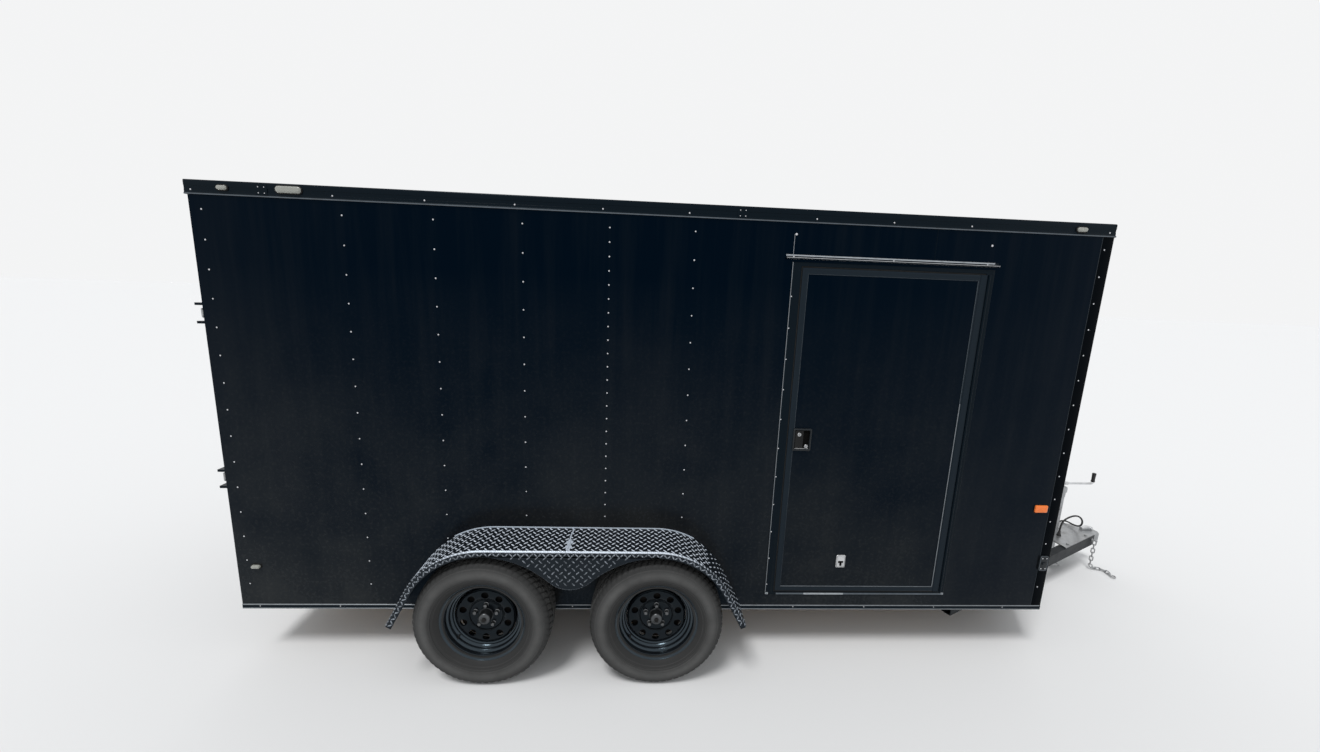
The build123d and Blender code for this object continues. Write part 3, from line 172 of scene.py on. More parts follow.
def endless(points):
    """Closed rings points[u] that are carried round until they meet the first."""
    return grid(points, close_u=True, close_v=True)


def capped(points):
    """Closed rings points[u] carried along u, with a flat face on both ends."""
    verts, faces = grid(points, close_v=True)
    ring = np.arange(points.shape[1])
    last = ring + (points.shape[0] - 1) * points.shape[1]
    return verts, faces + [np.stack([ring, last[::-1]])]


def turned(profile, centre, axis, turns):
    """Rings of (distance along the axis, radius) round the axis."""
    axis = unit(axis)
    ref = unit(np.cross(axis, (0.31, 0.47, 0.83)))
    out = swing(full_turn(turns), ref, np.cross(axis, ref))
    profile = np.asarray(profile, float)
    points = profile[:, 0, None, None] * axis + profile[:, 1, None, None] * out
    return np.asarray(centre, float) + points


def lathe(profile, centre=(0, 0, 0), axis=UP, turns=40):
    """Profile of (distance along the axis, radius) turned about the axis; both ends
    are closed with a flat face."""
    return capped(turned(profile, centre, axis, turns))


def ring_lathe(profile, centre, axis, turns):
    """A closed profile of (distance along the axis, radius) turned about the axis."""
    return endless(turned(profile, centre, axis, turns))


def tube(path, radius, sides=12, closed=False, up=UP):
    """Circle of a radius carried along a path of points, square to it."""
    path = np.asarray(path, float)
    if closed:
        tangent = unit(np.roll(path, -1, 0) - np.roll(path, 1, 0))
    else:
        tangent = unit(np.gradient(path, axis=0))
    side = unit(np.cross(tangent, up))
    lift = np.cross(side, tangent)
    points = path[:, None] + radius * swing(full_turn(sides), side[:, None], lift[:, None])
    return endless(points) if closed else capped(points)


def box(low, high, edge=1.0):
    """Block between two corners whose edges are cut off at an eighth of a turn."""
    low, high = np.minimum(low, high), np.maximum(low, high)
    centre = (low + high) / 2
    half = (high - low) / 2
    edge = min(edge, half.min() * 0.9)
    signs = np.array([[x, y, z] for z in (-1, 1) for y in (-1, 1) for x in (-1, 1)], float)
    reach = half - edge * (1 - np.eye(3))
    verts = centre + (signs[:, None] * reach).reshape(-1, 3)
    flats, edges = [], []
    for axis in range(3):
        a, b = (axis + 1) % 3, (axis + 2) % 3
        for start in (0, 1 << axis):
            corners = [start, start | 1 << a, start | 1 << a | 1 << b, start | 1 << b]
            flats.append([3 * c + axis for c in corners])
        for bits in range(4):
            c = (bits & 1) << a | (bits >> 1) << b
            d = c | 1 << axis
            edges.append([3 * c + a, 3 * d + a, 3 * d + b, 3 * c + b])
    tips = np.arange(24).reshape(8, 3)
    return verts, [np.array(flats + edges), tips]


def copies(shape, places, along=(1, 0, 0), across=(0, 1, 0), out=UP):
    """One shape at many places: place + x times along + y times across + z times out."""
    verts, faces = shape
    places = np.asarray(places, float)
    points = places[:, None]
    for column, way in enumerate((along, across, out)):
        each = np.broadcast_to(np.asarray(way, float), places.shape)
        points = points + verts[:, column, None] * each[:, None]
    starts = np.arange(len(places))[:, None, None] * len(verts)
    return points.reshape(-1, 3), [(block + starts).reshape(-1, block.shape[1]) for block in faces]


class Wall:
    """A flat side of the body: where its station 0 is, which way it runs and faces."""

    def __init__(self, origin, along, out):
        self.origin = np.asarray(origin, float)
        self.along = unit(along)
        self.out = unit(out)

    def at(self, s, d, z):
        """Points at station s, distance d out of the skin and height z."""
        s, d, z = np.broadcast_arrays(*(np.asarray(x, float)[..., None] for x in (s, d, z)))
        return self.origin + s * self.along + d * self.out + z * UP


SIGNS = {"right": -1.0, "left": 1.0}
SIDES = {side: Wall((0, y * HALF, 0), (1, 0, 0), (0, y, 0)) for side, y in SIGNS.items()}
NOSES = {
    side: Wall((CORNER, y * HALF, 0), (NOSE_LONG, -y * HALF, 0), (HALF, y * NOSE_LONG, 0))
    for side, y in SIGNS.items()
}
RIGHT = SIDES["right"]
REAR = Wall((0, 0, 0), (0, 1, 0), (-1, 0, 0))


def run(wall, profile, s0, s1, mitre0=0.0, mitre1=0.0):
    """Profile of (distance out, height) carried along a wall, each end cut at a slant
    of so much station for each millimetre out."""
    d, z = np.asarray(profile, float).T
    return capped(np.stack([wall.at(s0 + mitre0 * d, d, z), wall.at(s1 + mitre1 * d, d, z)]))


def upright(wall, profile, z0, z1):
    """Profile of (station, distance out) carried up a wall."""
    s, d = np.asarray(profile, float).T
    return capped(np.stack([wall.at(s, d, z0), wall.at(s, d, z1)]))


def moved(profile, first, second):
    """A profile with a distance added to each of its two measures."""
    return [(a + first, b + second) for a, b in profile]


def outline(width, height, radius, inset, count=40):
    """Rectangle with round corners, pulled in by a distance: points a, b round it."""
    t = (np.arange(count) + 0.5) * 2 * np.pi / count
    core = max(radius, inset)
    arc = max(radius - inset, 0.0)
    a = np.sign(np.cos(t)) * (width / 2 - core) + arc * np.cos(t)
    b = np.sign(np.sin(t)) * (height / 2 - core) + arc * np.sin(t)
    return a, b


def outlines(wall, s, z, width, height, radius, profile, count=40):
    """Rings of the round-cornered outline, one for each (inset, distance out)."""
    rings = []
    for inset, d in profile:
        a, b = outline(width, height, radius, inset, count)
        rings.append(wall.at(s + a, d, z + b))
    return np.stack(rings)


def dish(*where):
    """Solid on a wall with a round-cornered outline: wall, place, width, height, corner
    radius and a profile of (inset, distance out)."""
    return capped(outlines(*where))


def hoop(*where):
    """The same with a closed profile, as a rim round an open middle."""
    return endless(outlines(*where))


def pulled_in(rectangle, by):
    """Rectangle (s0, s1, z0, z1) with each side moved in by a distance."""
    return np.asarray(rectangle, float) + by * np.array([1, -1, 1, -1])


def frame_ring(wall, outer, inner, profile):
    """Mitred frame between two rectangles (s0, s1, z0, z1); a closed profile of
    (share of the way in, distance out)."""
    outer, inner = np.asarray(outer, float), np.asarray(inner, float)
    rings = []
    for share, d in profile:
        s0, s1, z0, z1 = outer + (inner - outer) * share
        rings.append(wall.at([s0, s1, s1, s0], d, [z0, z0, z1, z1]))
    return endless(np.stack(rings))


def sheet(wall, s, z, proud, holes=()):
    """Thin panel over lines s by z; proud(S, Z) is how far its face stands out.  Cells
    whose middle lies in a hole (s0, s1, z0, z1) are left open."""
    big_s, big_z = np.meshgrid(s, z, indexing="ij")
    front = wall.at(big_s, proud(big_s, big_z), big_z)
    back = front - SKIN_THICK * wall.out
    mid_s = (big_s[:-1, :-1] + big_s[1:, 1:]) / 2
    mid_z = (big_z[:-1, :-1] + big_z[1:, 1:]) / 2
    kept = np.ones(mid_s.shape, bool)
    for s0, s1, z0, z1 in holes:
        kept &= ~((mid_s > s0) & (mid_s < s1) & (mid_z > z0) & (mid_z < z1))
    index = np.arange(big_s.size).reshape(big_s.shape)
    cells = quads(index)[kept]
    padded = np.pad(kept, 1)
    step_s = padded[1:, 1:-1] != padded[:-1, 1:-1]
    step_z = padded[1:-1, 1:] != padded[1:-1, :-1]
    lines_s = np.stack([index[:, :-1], index[:, 1:]], -1)[step_s]
    lines_z = np.stack([index[:-1], index[1:]], -1)[step_z]
    start, end = np.concatenate([lines_s, lines_z]).T
    size = big_s.size
    rim = np.stack([start, end, end + size, start + size], -1)
    verts = np.concatenate([front.reshape(-1, 3), back.reshape(-1, 3)])
    return verts, [np.concatenate([cells, cells[:, ::-1] + size, rim])]


# Finishes


class Nodes:
    """Short calls that add and link the nodes of a tree."""

    def __init__(self, tree):
        self.tree = tree

    def add(self, kind, inputs=(), **settings):
        node = self.tree.nodes.new(kind)
        for key, value in settings.items():
            setattr(node, key, value)
        for key, value in dict(inputs).items():
            self.put(node.inputs[key], value)
        return node

    def put(self, socket, value):
        if isinstance(value, bpy.types.NodeSocket):
            self.tree.links.new(value, socket)
        else:
            socket.default_value = value

    def calc(self, operation, a, b=0.0, clamp=False):
        node = self.add("ShaderNodeMath", {0: a, 1: b}, operation=operation, use_clamp=clamp)
        return node.outputs[0]


class Finish(Nodes):
    """A material under construction, its patterns on Object coordinates."""

    def __init__(self, name):
        self.material = bpy.data.materials.new(name)
        self.material.use_nodes = True
        super().__init__(self.material.node_tree)
        self.shader = self.tree.nodes["Principled BSDF"]
        self.place = self.add("ShaderNodeTexCoord").outputs["Object"]

    def set(self, **values):
        for key, value in values.items():
            self.put(self.shader.inputs[key.replace("_", " ")], value)

    def times(self, a, b, clamp=False):
        return self.calc("MULTIPLY", a, b, clamp)

    def plus(self, a, b, clamp=False):
        return self.calc("ADD", a, b, clamp)

    def part(self, axis):
        return self.add("ShaderNodeSeparateXYZ", {0: self.place}).outputs[axis]

    def wear(self):
        return self.add("ShaderNodeAttribute", attribute_name="wear").outputs["Fac"]

    def stretch(self, x, y, z):
        return self.add("ShaderNodeMapping", {"Vector": self.place, "Scale": (x, y, z)}).outputs[0]

    def spread(self, value, low, high, to_low=0.0, to_high=1.0):
        inputs = {"Value": value, "From Min": low, "From Max": high, "To Min": to_low, "To Max": to_high}
        return self.add("ShaderNodeMapRange", inputs).outputs[0]

    def between(self, share, none, whole):
        """The value none where the share is 0, and whole where it is 1."""
        return self.spread(share, 0.0, 1.0, none, whole)

    def noise(self, scale, detail=4.0, rough=0.55, vector=None, low=0.3, high=0.7):
        """Cloudy pattern, spread so that low becomes 0 and high becomes 1."""
        inputs = {"Vector": vector or self.place, "Scale": scale, "Detail": detail, "Roughness": rough}
        return self.spread(self.add("ShaderNodeTexNoise", inputs).outputs["Fac"], low, high)

    def mix(self, share, a, b):
        node = self.add("ShaderNodeMix", data_type="RGBA")
        for socket, value in ((node.inputs[0], share), (node.inputs[6], a), (node.inputs[7], b)):
            self.put(socket, value if isinstance(value, bpy.types.NodeSocket | float) else (*value, 1.0))
        return node.outputs[2]

    def bump(self, value, strength, distance):
        inputs = {"Height": value, "Strength": strength, "Distance": distance}
        self.set(Normal=self.add("ShaderNodeBump", inputs).outputs[0])


def gloss_skin(name, colour, dust, seams=False):
    """Gloss painted sheet: deep above, lighter towards the ground with road dust and a painted reflection of the
    ground, dustier behind the door, with faint rain streaks and orange peel, or on the roof seams between the
    sheets."""
    f = Finish(name)
    # Lighter towards the ground: road dust, and a painted reflection of the ground in the gloss paint
    low = f.spread(f.part("Z"), 0.35, 2.05, 1.0, 0.0)
    cloud = f.noise(1.7, 6.0, 0.62, low=0.34, high=0.66)
    streak = f.noise(1.0, 4.0, 0.6, f.stretch(14.0, 14.0, 0.8), 0.45, 0.75)
    speck = f.noise(60.0, 3.0, 0.6, low=0.5, high=0.8)
    low = f.times(low, f.spread(f.part("X"), 0.72, 1.05, 1.0, 0.45))
    dusty = f.times(low, f.between(cloud, 0.32, 1.0))
    dots = f.times(f.times(speck, low), 0.5)
    amount = f.plus(f.plus(f.times(dusty, 0.8), f.times(streak, 0.1)), dots, clamp=True)
    f.set(
        Base_Color=f.mix(amount, colour, dust),
        IOR=1.18,
        Roughness=f.between(amount, 0.07, 0.4),
        Specular_Tint=(0.12, 0.5, 1.0, 1.0),
    )
    if seams:
        f.bump(seam_lines(f), 0.9, 0.0016)
    else:
        f.bump(f.noise(420.0, 2.0), 0.03, 0.001)
    return f.material


def seam_lines(f):
    """1 on narrow strips across the roof, one strip every sheet's width."""
    saw = f.calc("PINGPONG", f.part("X"), 0.61)
    return f.spread(saw, 0.014, 0.018, 1.0, 0.0)


def painted(name, colour, dust, dusty, rough, ior=1.35, bare=(0.30, 0.31, 0.32)):
    """Painted metal with dust near the ground, and bare metal where the mesh's wear
    attribute and a fine noise say that the paint is rubbed off."""
    f = Finish(name)
    low = f.spread(f.part("Z"), 0.1, 1.2, 1.0, 0.25)
    amount = f.times(f.times(low, f.noise(5.0, 6.0, 0.62)), dusty, clamp=True)
    rub = f.noise(190.0, 4.0, 0.6, low=0.25, high=0.75)
    # Bare metal where the wear attribute says; on the fender's bend and the screw tops that wear is partly a
    # painted highlight
    gone = f.spread(f.times(f.wear(), f.plus(rub, 0.68)), 0.45, 0.95)
    f.set(
        Base_Color=f.mix(gone, f.mix(amount, colour, dust), bare),
        Metallic=f.times(gone, 0.12),
        Roughness=f.plus(f.between(amount, rough, rough + 0.3), f.times(rub, 0.06)),
        IOR=ior,
        Specular_Tint=(0.65, 0.85, 1.0, 1.0),
    )
    f.bump(f.noise(240.0, 3.0), 0.12, 0.0008)
    return f.material


def metal(name, colour, rough, stain, stained=0.3):
    """Bare or plated metal: cloudy plating, a few dull stains, fine grain."""
    f = Finish(name)
    light = f.mix(f.noise(34.0, 5.0, 0.6), colour, tuple(0.78 * c for c in colour))
    amount = f.times(f.noise(11.0, 6.0, 0.7, low=0.52, high=0.78), stained)
    fine = f.noise(130.0, 3.0, 0.6)
    f.set(
        Base_Color=f.mix(amount, light, stain),
        Metallic=f.between(amount, 0.95, 0.35),
        Roughness=f.plus(f.between(amount, rough, rough + 0.3), f.times(fine, 0.08)),
    )
    f.bump(fine, 0.08, 0.0005)
    return f.material


def moulded(name, colour, rough, grain, depth, dusty=0.15, ior=1.45):
    """Moulded plastic or rubber: fine grain, a little dust in clouds."""
    f = Finish(name)
    fine = f.noise(grain, 3.0, 0.6)
    amount = f.times(f.noise(7.0, 5.0, 0.65, low=0.38, high=0.75), dusty)
    f.set(
        Base_Color=f.mix(amount, colour, (0.16, 0.15, 0.14)),
        Roughness=f.plus(f.between(amount, rough, rough + 0.25), f.times(fine, 0.05)),
        IOR=ior,
    )
    f.bump(fine, depth, 0.0006)
    return f.material


def tyre_rubber(name, colour, dust):
    """Tyre rubber: brown-grey that the wear attribute mixes in, as dust on the raised parts and as painted light
    across the middle of the sidewall, darker in the grooves and next to the rim as painted shade."""
    f = Finish(name)
    cloud = f.noise(9.0, 6.0, 0.65, low=0.3, high=0.72)
    speck = f.noise(420.0, 2.0, 0.6, low=0.5, high=0.85)
    amount = f.times(f.wear(), f.between(cloud, 0.55, 1.0))
    amount = f.plus(amount, f.times(speck, 0.12), clamp=True)
    f.set(Base_Color=f.mix(amount, colour, dust), Roughness=f.between(amount, 0.62, 0.9), IOR=1.42)
    f.bump(f.noise(150.0, 4.0, 0.6), 0.18, 0.0008)
    return f.material


def lens(name, colour, through, rough):
    """Moulded lens, partly clear, with faint flow marks."""
    f = Finish(name)
    haze = f.noise(26.0, 4.0, 0.6)
    f.set(
        Base_Color=f.mix(f.times(haze, 0.25), colour, tuple(0.6 * c for c in colour)),
        Roughness=f.between(haze, rough, rough + 0.12),
        IOR=1.45,
        Transmission_Weight=through,
    )
    f.bump(f.noise(300.0, 2.0), 0.04, 0.0004)
    return f.material


def plywood_nodes(f):
    """Colour of plywood, with long wavy grain along the trailer and a few knots, and its
    fine grain."""
    grain = f.noise(9.0, 8.0, 0.62, f.stretch(0.9, 9.0, 9.0), 0.25, 0.75)
    fine = f.noise(60.0, 4.0, 0.6, f.stretch(0.5, 6.0, 6.0), 0.3, 0.7)
    knot = f.noise(3.1, 3.0, 0.5, low=0.66, high=0.74)
    base = f.mix(grain, (0.52, 0.36, 0.20), (0.36, 0.23, 0.115))
    base = f.mix(f.times(fine, 0.35), base, (0.26, 0.16, 0.08))
    return f.mix(f.times(knot, 0.5), base, (0.16, 0.085, 0.04)), fine


def plywood(name):
    """Bare plywood."""
    f = Finish(name)
    base, fine = plywood_nodes(f)
    f.set(Base_Color=base, Roughness=0.72, IOR=1.4)
    f.bump(fine, 0.15, 0.0008)
    return f.material


def lined(name, outside, inside_mask):
    """Painted outside and plywood inside: inside_mask adds the nodes that say where."""
    f = Finish(name)
    base, fine = plywood_nodes(f)
    inside = inside_mask(f)
    f.set(Base_Color=f.mix(inside, outside, base), Roughness=f.between(inside, 0.24, 0.72), IOR=1.2)
    f.bump(fine, 0.05, 0.0005)
    return f.material


def inside_walls(f):
    """1 where the point lies on the inner face of a side wall."""
    return f.calc("LESS_THAN", f.calc("ABSOLUTE", f.part("Y")), (INNER + 1.0) / 1000.0)


def inside_nose(f):
    """1 where the point lies well inside the V: its distance from the outer planes."""
    size = f.add("ShaderNodeVectorMath", {0: f.place}, operation="ABSOLUTE").outputs[0]
    across = (HALF / NOSE_SIDE, NOSE_LONG / NOSE_SIDE, 0.0)
    reach = f.add("ShaderNodeVectorMath", {0: size, 1: across}, operation="DOT_PRODUCT").outputs["Value"]
    edge = (NOSE_TIP + ZERO) / 1000.0 * across[0] - 0.037
    return f.calc("LESS_THAN", reach, edge)


def inside_ramp(f):
    """1 where the point lies on the ramp door's inner face."""
    return f.calc("GREATER_THAN", f.part("X"), (ZERO + 37.0) / 1000.0)


FINISHES = {}


def make_finishes(colours):
    """Every finish of the trailer, from the user's colours."""
    dust = tuple(colours.dust)
    # Colour of the lower sheets: road dust and a painted reflection of the ground
    dust_and_ground_reflection = tuple(colours.skin_dust_and_reflection)
    black = tuple(colours.skin)
    satin = tuple(colours.trim)
    rim_bare = (0.2, 0.2, 0.2)
    FINISHES.update({
        "skin": gloss_skin("gloss_black_skin", black, dust_and_ground_reflection),
        "door_skin": gloss_skin("gloss_black_door", black, tuple(0.75 * c for c in dust_and_ground_reflection)),
        "roof": gloss_skin("seamed_black_roof", black, dust_and_ground_reflection, seams=True),
        "wall_core": lined("wall_with_lining", black, inside_walls),
        "nose_core": lined("nose_with_lining", black, inside_nose),
        "ramp_core": lined("ramp_with_lining", black, inside_ramp),
        "trim": painted("satin_black_trim", satin, dust, 0.15, 0.24, 1.2),
        "band": painted("door_band_paint", (0.0088, 0.0135, 0.0190), dust, 0.3, 0.26, 1.22),
        # Pale bluish ground-off metal for fender edges and welds, its brightness partly a painted highlight
        "scraped_and_highlit": painted("scraped_plate_metal", (0.50, 0.56, 0.64), (0.2, 0.21, 0.22), 0.5, 0.45, 1.4),
        "corner": painted("corner_trim_paint", (0.0006, 0.001, 0.0018), dust, 0.1, 0.2, 1.12),
        "rubbed": metal("half_bare_trim_edge", (0.26, 0.28, 0.30), 0.38, (0.07, 0.08, 0.09), 0.7),
        "edge": metal("rubbed_trim_edge", (0.12, 0.14, 0.16), 0.4, (0.05, 0.05, 0.05), 0.6),
        # Dull metal line for the corner trim's edge: a painted highlight
        "dim_edge_highlight": metal("dull_trim_edge", (0.045, 0.055, 0.065), 0.45, (0.02, 0.02, 0.02), 0.7),
        # Bare-looking metal for bright lines that are painted highlights on the casing, drip rail and door seam
        "highlit_bare_edge": metal("bare_trim_edge", (0.42, 0.45, 0.48), 0.36, (0.10, 0.11, 0.12), 0.7),
        "steel": painted(
            "black_frame_paint", (0.006, 0.006, 0.0065), dust, 0.8, 0.36, 1.25, (0.16, 0.10, 0.07)
        ),
        # Bare colour of the rubbed marks: worn metal, tinted blue as a painted reflection of the sky
        "plate": painted(
            "black_tread_plate", (0.0075, 0.0095, 0.0125), dust, 0.4, 0.28, 1.27, (0.64, 0.70, 0.78)
        ),
        # Bare colour on the screw tops: worn paint and a painted highlight
        "screw": painted("black_screw_heads", (0.03, 0.031, 0.034), dust, 0.4, 0.3, bare=(0.62, 0.62, 0.64)),
        "rim": painted("gloss_black_rim", (0.003, 0.0038, 0.005), dust, 0.3, 0.09, 1.62, rim_bare),
        # Darker copy of the rim paint for the recessed disc: painted shade
        "disc": painted("gloss_black_disc", (0.0015, 0.002, 0.003), dust, 0.25, 0.12, 1.3, rim_bare),
        # The tyre's dust colour also carries painted light and shade through the wear attribute
        "rubber": tyre_rubber("dusty_tyre_rubber", tuple(colours.rubber), tuple(colours.tyre_dust_and_light)),
        "seal": moulded("soft_black_seal", (0.006, 0.006, 0.006), 0.7, 200.0, 0.1, 0.05, 1.3),
        "plastic": moulded("black_plastic", (0.012, 0.012, 0.013), 0.42, 320.0, 0.1, 0.08),
        "grey_plastic": moulded("latch_rim_plastic", (0.009, 0.012, 0.015), 0.3, 320.0, 0.1, 0.02, 1.33),
        "latch": moulded("latch_paddle_plastic", (0.004, 0.0045, 0.005), 0.34, 320.0, 0.1, 0.04, 1.3),
        "cord": moulded("black_cord_jacket", (0.014, 0.014, 0.015), 0.5, 380.0, 0.08),
        "zinc": metal("zinc_plating", (0.42, 0.43, 0.44), 0.36, (0.14, 0.12, 0.10), 0.5),
        "galvanised": metal("galvanised_chain", (0.46, 0.47, 0.48), 0.42, (0.16, 0.11, 0.08), 0.5),
        "bright": metal("bright_pressed_steel", (0.70, 0.71, 0.72), 0.28, (0.3, 0.29, 0.28), 0.3),
        "nut": metal("dull_nut_plating", (0.16, 0.165, 0.17), 0.3, (0.03, 0.03, 0.03), 0.6),
        "cap": metal("dull_hub_cap", (0.10, 0.105, 0.11), 0.3, (0.03, 0.03, 0.03), 0.6),
        # Brake drum kept near black so the rim's holes look shadowed: painted shade, with brown dust
        "cast": painted("cast_brake_iron", (0.006, 0.006, 0.006), (0.03, 0.02, 0.015), 0.8, 0.6, 1.3),
        "ply": plywood("bare_plywood"),
        "clear": lens("clear_lens", (0.44, 0.45, 0.41), 0.3, 0.08),
        "amber": lens("amber_lens", tuple(colours.amber), 0.12, 0.12),
        "red": lens("red_lens", tuple(colours.red), 0.25, 0.1),
        "reflector": metal("lamp_reflector", (0.82, 0.83, 0.84), 0.2, (0.5, 0.5, 0.5), 0.1),
        # Near-black matte for the latch pan, key slots and hold-back slot and groove: painted shade in recesses
        "recess_shade": moulded("dark_recess", (0.002, 0.002, 0.002), 0.8, 100.0, 0.02, 0.0, 1.15),
    })


# Making pieces


def new_object(name, data):
    """An object in the scene, at the origin."""
    made = bpy.data.objects.new(name, data)
    bpy.context.scene.collection.objects.link(made)
    return made


def add_mesh(name, verts, faces, wear=None):
    """Mesh in metres from station millimetres, welded and with its faces outward."""
    mesh = bpy.data.meshes.new(name)
    mesh.vertices.add(len(verts))
    mesh.vertices.foreach_set("co", ((verts + (ZERO, 0.0, 0.0)) / 1000.0).ravel())
    loops = np.concatenate([block.ravel() for block in faces])
    sizes = np.concatenate([np.full(len(block), block.shape[1]) for block in faces])
    mesh.loops.add(len(loops))
    mesh.loops.foreach_set("vertex_index", loops.astype(np.int32))
    mesh.polygons.add(len(sizes))
    mesh.polygons.foreach_set("loop_start", (np.cumsum(sizes) - sizes).astype(np.int32))
    if wear is not None:
        layer = mesh.attributes.new("wear", "FLOAT", "POINT")
        layer.data.foreach_set("value", np.asarray(wear, np.float32))
    mesh.update(calc_edges=True)
    work = bmesh.new()
    work.from_mesh(mesh)
    bmesh.ops.remove_doubles(work, verts=work.verts, dist=2e-6)
    bmesh.ops.recalc_face_normals(work, faces=work.faces)
    work.to_mesh(mesh)
    work.free()
    return mesh


def piece(name, shapes, finish, body="trailer", stands_for=(), wear=None, sharp=38.0, edge=0.0):
    """One named piece of the trailer that rides on a body."""
    verts, faces = join(*shapes)
    mesh = add_mesh(name, verts, faces, wear)
    mesh.polygons.foreach_set("use_smooth", np.ones(len(mesh.polygons), bool))
    mesh.set_sharp_from_angle(angle=np.radians(sharp))
    mesh.materials.append(FINISHES[finish])
    made = new_object(name, mesh)
    if edge:
        bevel = made.modifiers.new("edges", "BEVEL")
        bevel.width = edge / 1000.0
        bevel.segments = 2
        bevel.limit_method = "ANGLE"
    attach(made, body)
    if stands_for:
        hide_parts(*stands_for)
    return made


def screw_head(radius, height, sides=10):
    """Low round head: rings of (height, radius), and how worn each is; the bare top is worn paint and a painted
    highlight.
    """
    profile = [(0.0, 1.0), (0.45, 0.97), (0.85, 0.68), (1.0, 0.3)]
    rings = [(height * h, radius * r) for h, r in profile]
    return lathe(rings, turns=sides), np.repeat([0.1, 0.4, 0.8, 1.0], sides)


def screws(name, wall, s, z, d, body="trailer", radius=4.3, height=2.2, slot="trim"):
    """A row or grid of screw heads on a wall."""
    s, z = np.broadcast_arrays(np.asarray(s, float), np.asarray(z, float))
    shape, wear = screw_head(radius, height)
    places = wall.at(s.ravel(), d, z.ravel())
    made = copies(shape, places, wall.along, UP, wall.out)
    return piece(name, [made], "screw", body, wear=np.tile(wear, len(places)))


def screws_both(name, walls, s, z, d, **head):
    """The same screws on the right and on the left wall."""
    for side, wall in walls.items():
        screws(name + side, wall, s, z, d, **head)


def stud_lines():
    """Stations of the screw columns on a side wall."""
    return np.concatenate([[FIRST_STUD], SECOND_STUD + STUD_PITCH * np.arange(STUDS_AHEAD)])


def row_heights(low):
    """Heights of the screw rows, from the top one down to a lowest height."""
    rows = ROW_TOP - ROW_PITCH * np.arange(ROWS)
    return rows[rows > low]


def bowed(depth, lines, base):
    """Face of a sheet between its studs: it bulges from one screw line to the next,
    by a depth that changes with height and from bay to bay."""

    def proud(s, z):
        bay = np.clip(np.searchsorted(lines, s) - 1, 0, len(lines) - 2)
        share = (s - lines[bay]) / (lines[bay + 1] - lines[bay])
        arch = np.sin(np.pi * np.clip(share, 0, 1)) ** 2
        swell = 0.55 + 0.3 * np.sin(z / 310.0 + 1.9 * bay) + 0.15 * np.sin(z / 97.0 + 0.7 * bay)
        quilt = 0.16 * np.cos(2 * np.pi * (z - ROW_TOP) / ROW_PITCH) * (1 - arch)
        return base + depth * (arch * swell - quilt * 0.5)

    return proud


def lines_over(start, end, *extra):
    """Grid lines from start to end, about a cell apart, with extra ones among them."""
    count = max(2, int(round((end - start) / CELL)) + 1)
    return np.unique(np.concatenate([np.linspace(start, end, count), extra]))


# Pieces: body


def make_skins(sizes):
    """Side and nose sheets with their screws."""
    lines = np.concatenate([[0.0], stud_lines(), [CORNER + 4.0]])
    depth = sizes.bow * 1000.0
    doorway = (CASING_LOW[0] + 30, CASING_HIGH[0] - 30, CASING_LOW[2] + 12, CASING_HIGH[2] - 12)
    z = lines_over(FOOT, RAIL_FOOT, *doorway[2:])
    rows = row_heights(FOOT + 60)
    for side, wall in SIDES.items():
        holes, behind = ([doorway], 6) if side == "right" else ([], -1)
        rear = sheet(wall, lines_over(0.0, SEAM + LAP), z, bowed(depth, lines, 0.9))
        front = sheet(wall, lines_over(SEAM - LAP, CORNER, *doorway[:2]), z, bowed(depth, lines, 1.8), holes)
        piece("skin_%s_rear" % side, [rear], "skin")
        piece("skin_%s_front" % side, [front], "skin")
        columns, heights = np.meshgrid(stud_lines()[:behind], rows, indexing="ij")
        screws("screws_" + side, wall, columns, heights, 1.7)
        screws("seam_screws_" + side, wall, SEAM, rows - ROW_PITCH / 2, 2.4)
    nose_lines = np.array([0.0, 26.0, 370.0, 720.0, NOSE_SIDE - 21.0, NOSE_SIDE])
    z = lines_over(GUARD_TOP - 12, RAIL_FOOT)
    for side, wall in NOSES.items():
        skin = sheet(wall, lines_over(0.0, NOSE_SIDE), z, bowed(depth, nose_lines, 0.9))
        piece("skin_nose_" + side, [skin], "skin")
    columns, heights = np.meshgrid(nose_lines[2:4], row_heights(GUARD_TOP + 30), indexing="ij")
    screws_both("screws_nose_", NOSES, columns, heights, 1.6)


def make_trims(sizes):
    """Top rails, skirts, corner and nose trims, stone guard edge and tread."""
    make_rails()
    make_skirts()
    make_corners()
    make_guard(sizes.tread_pitch * 1000.0)


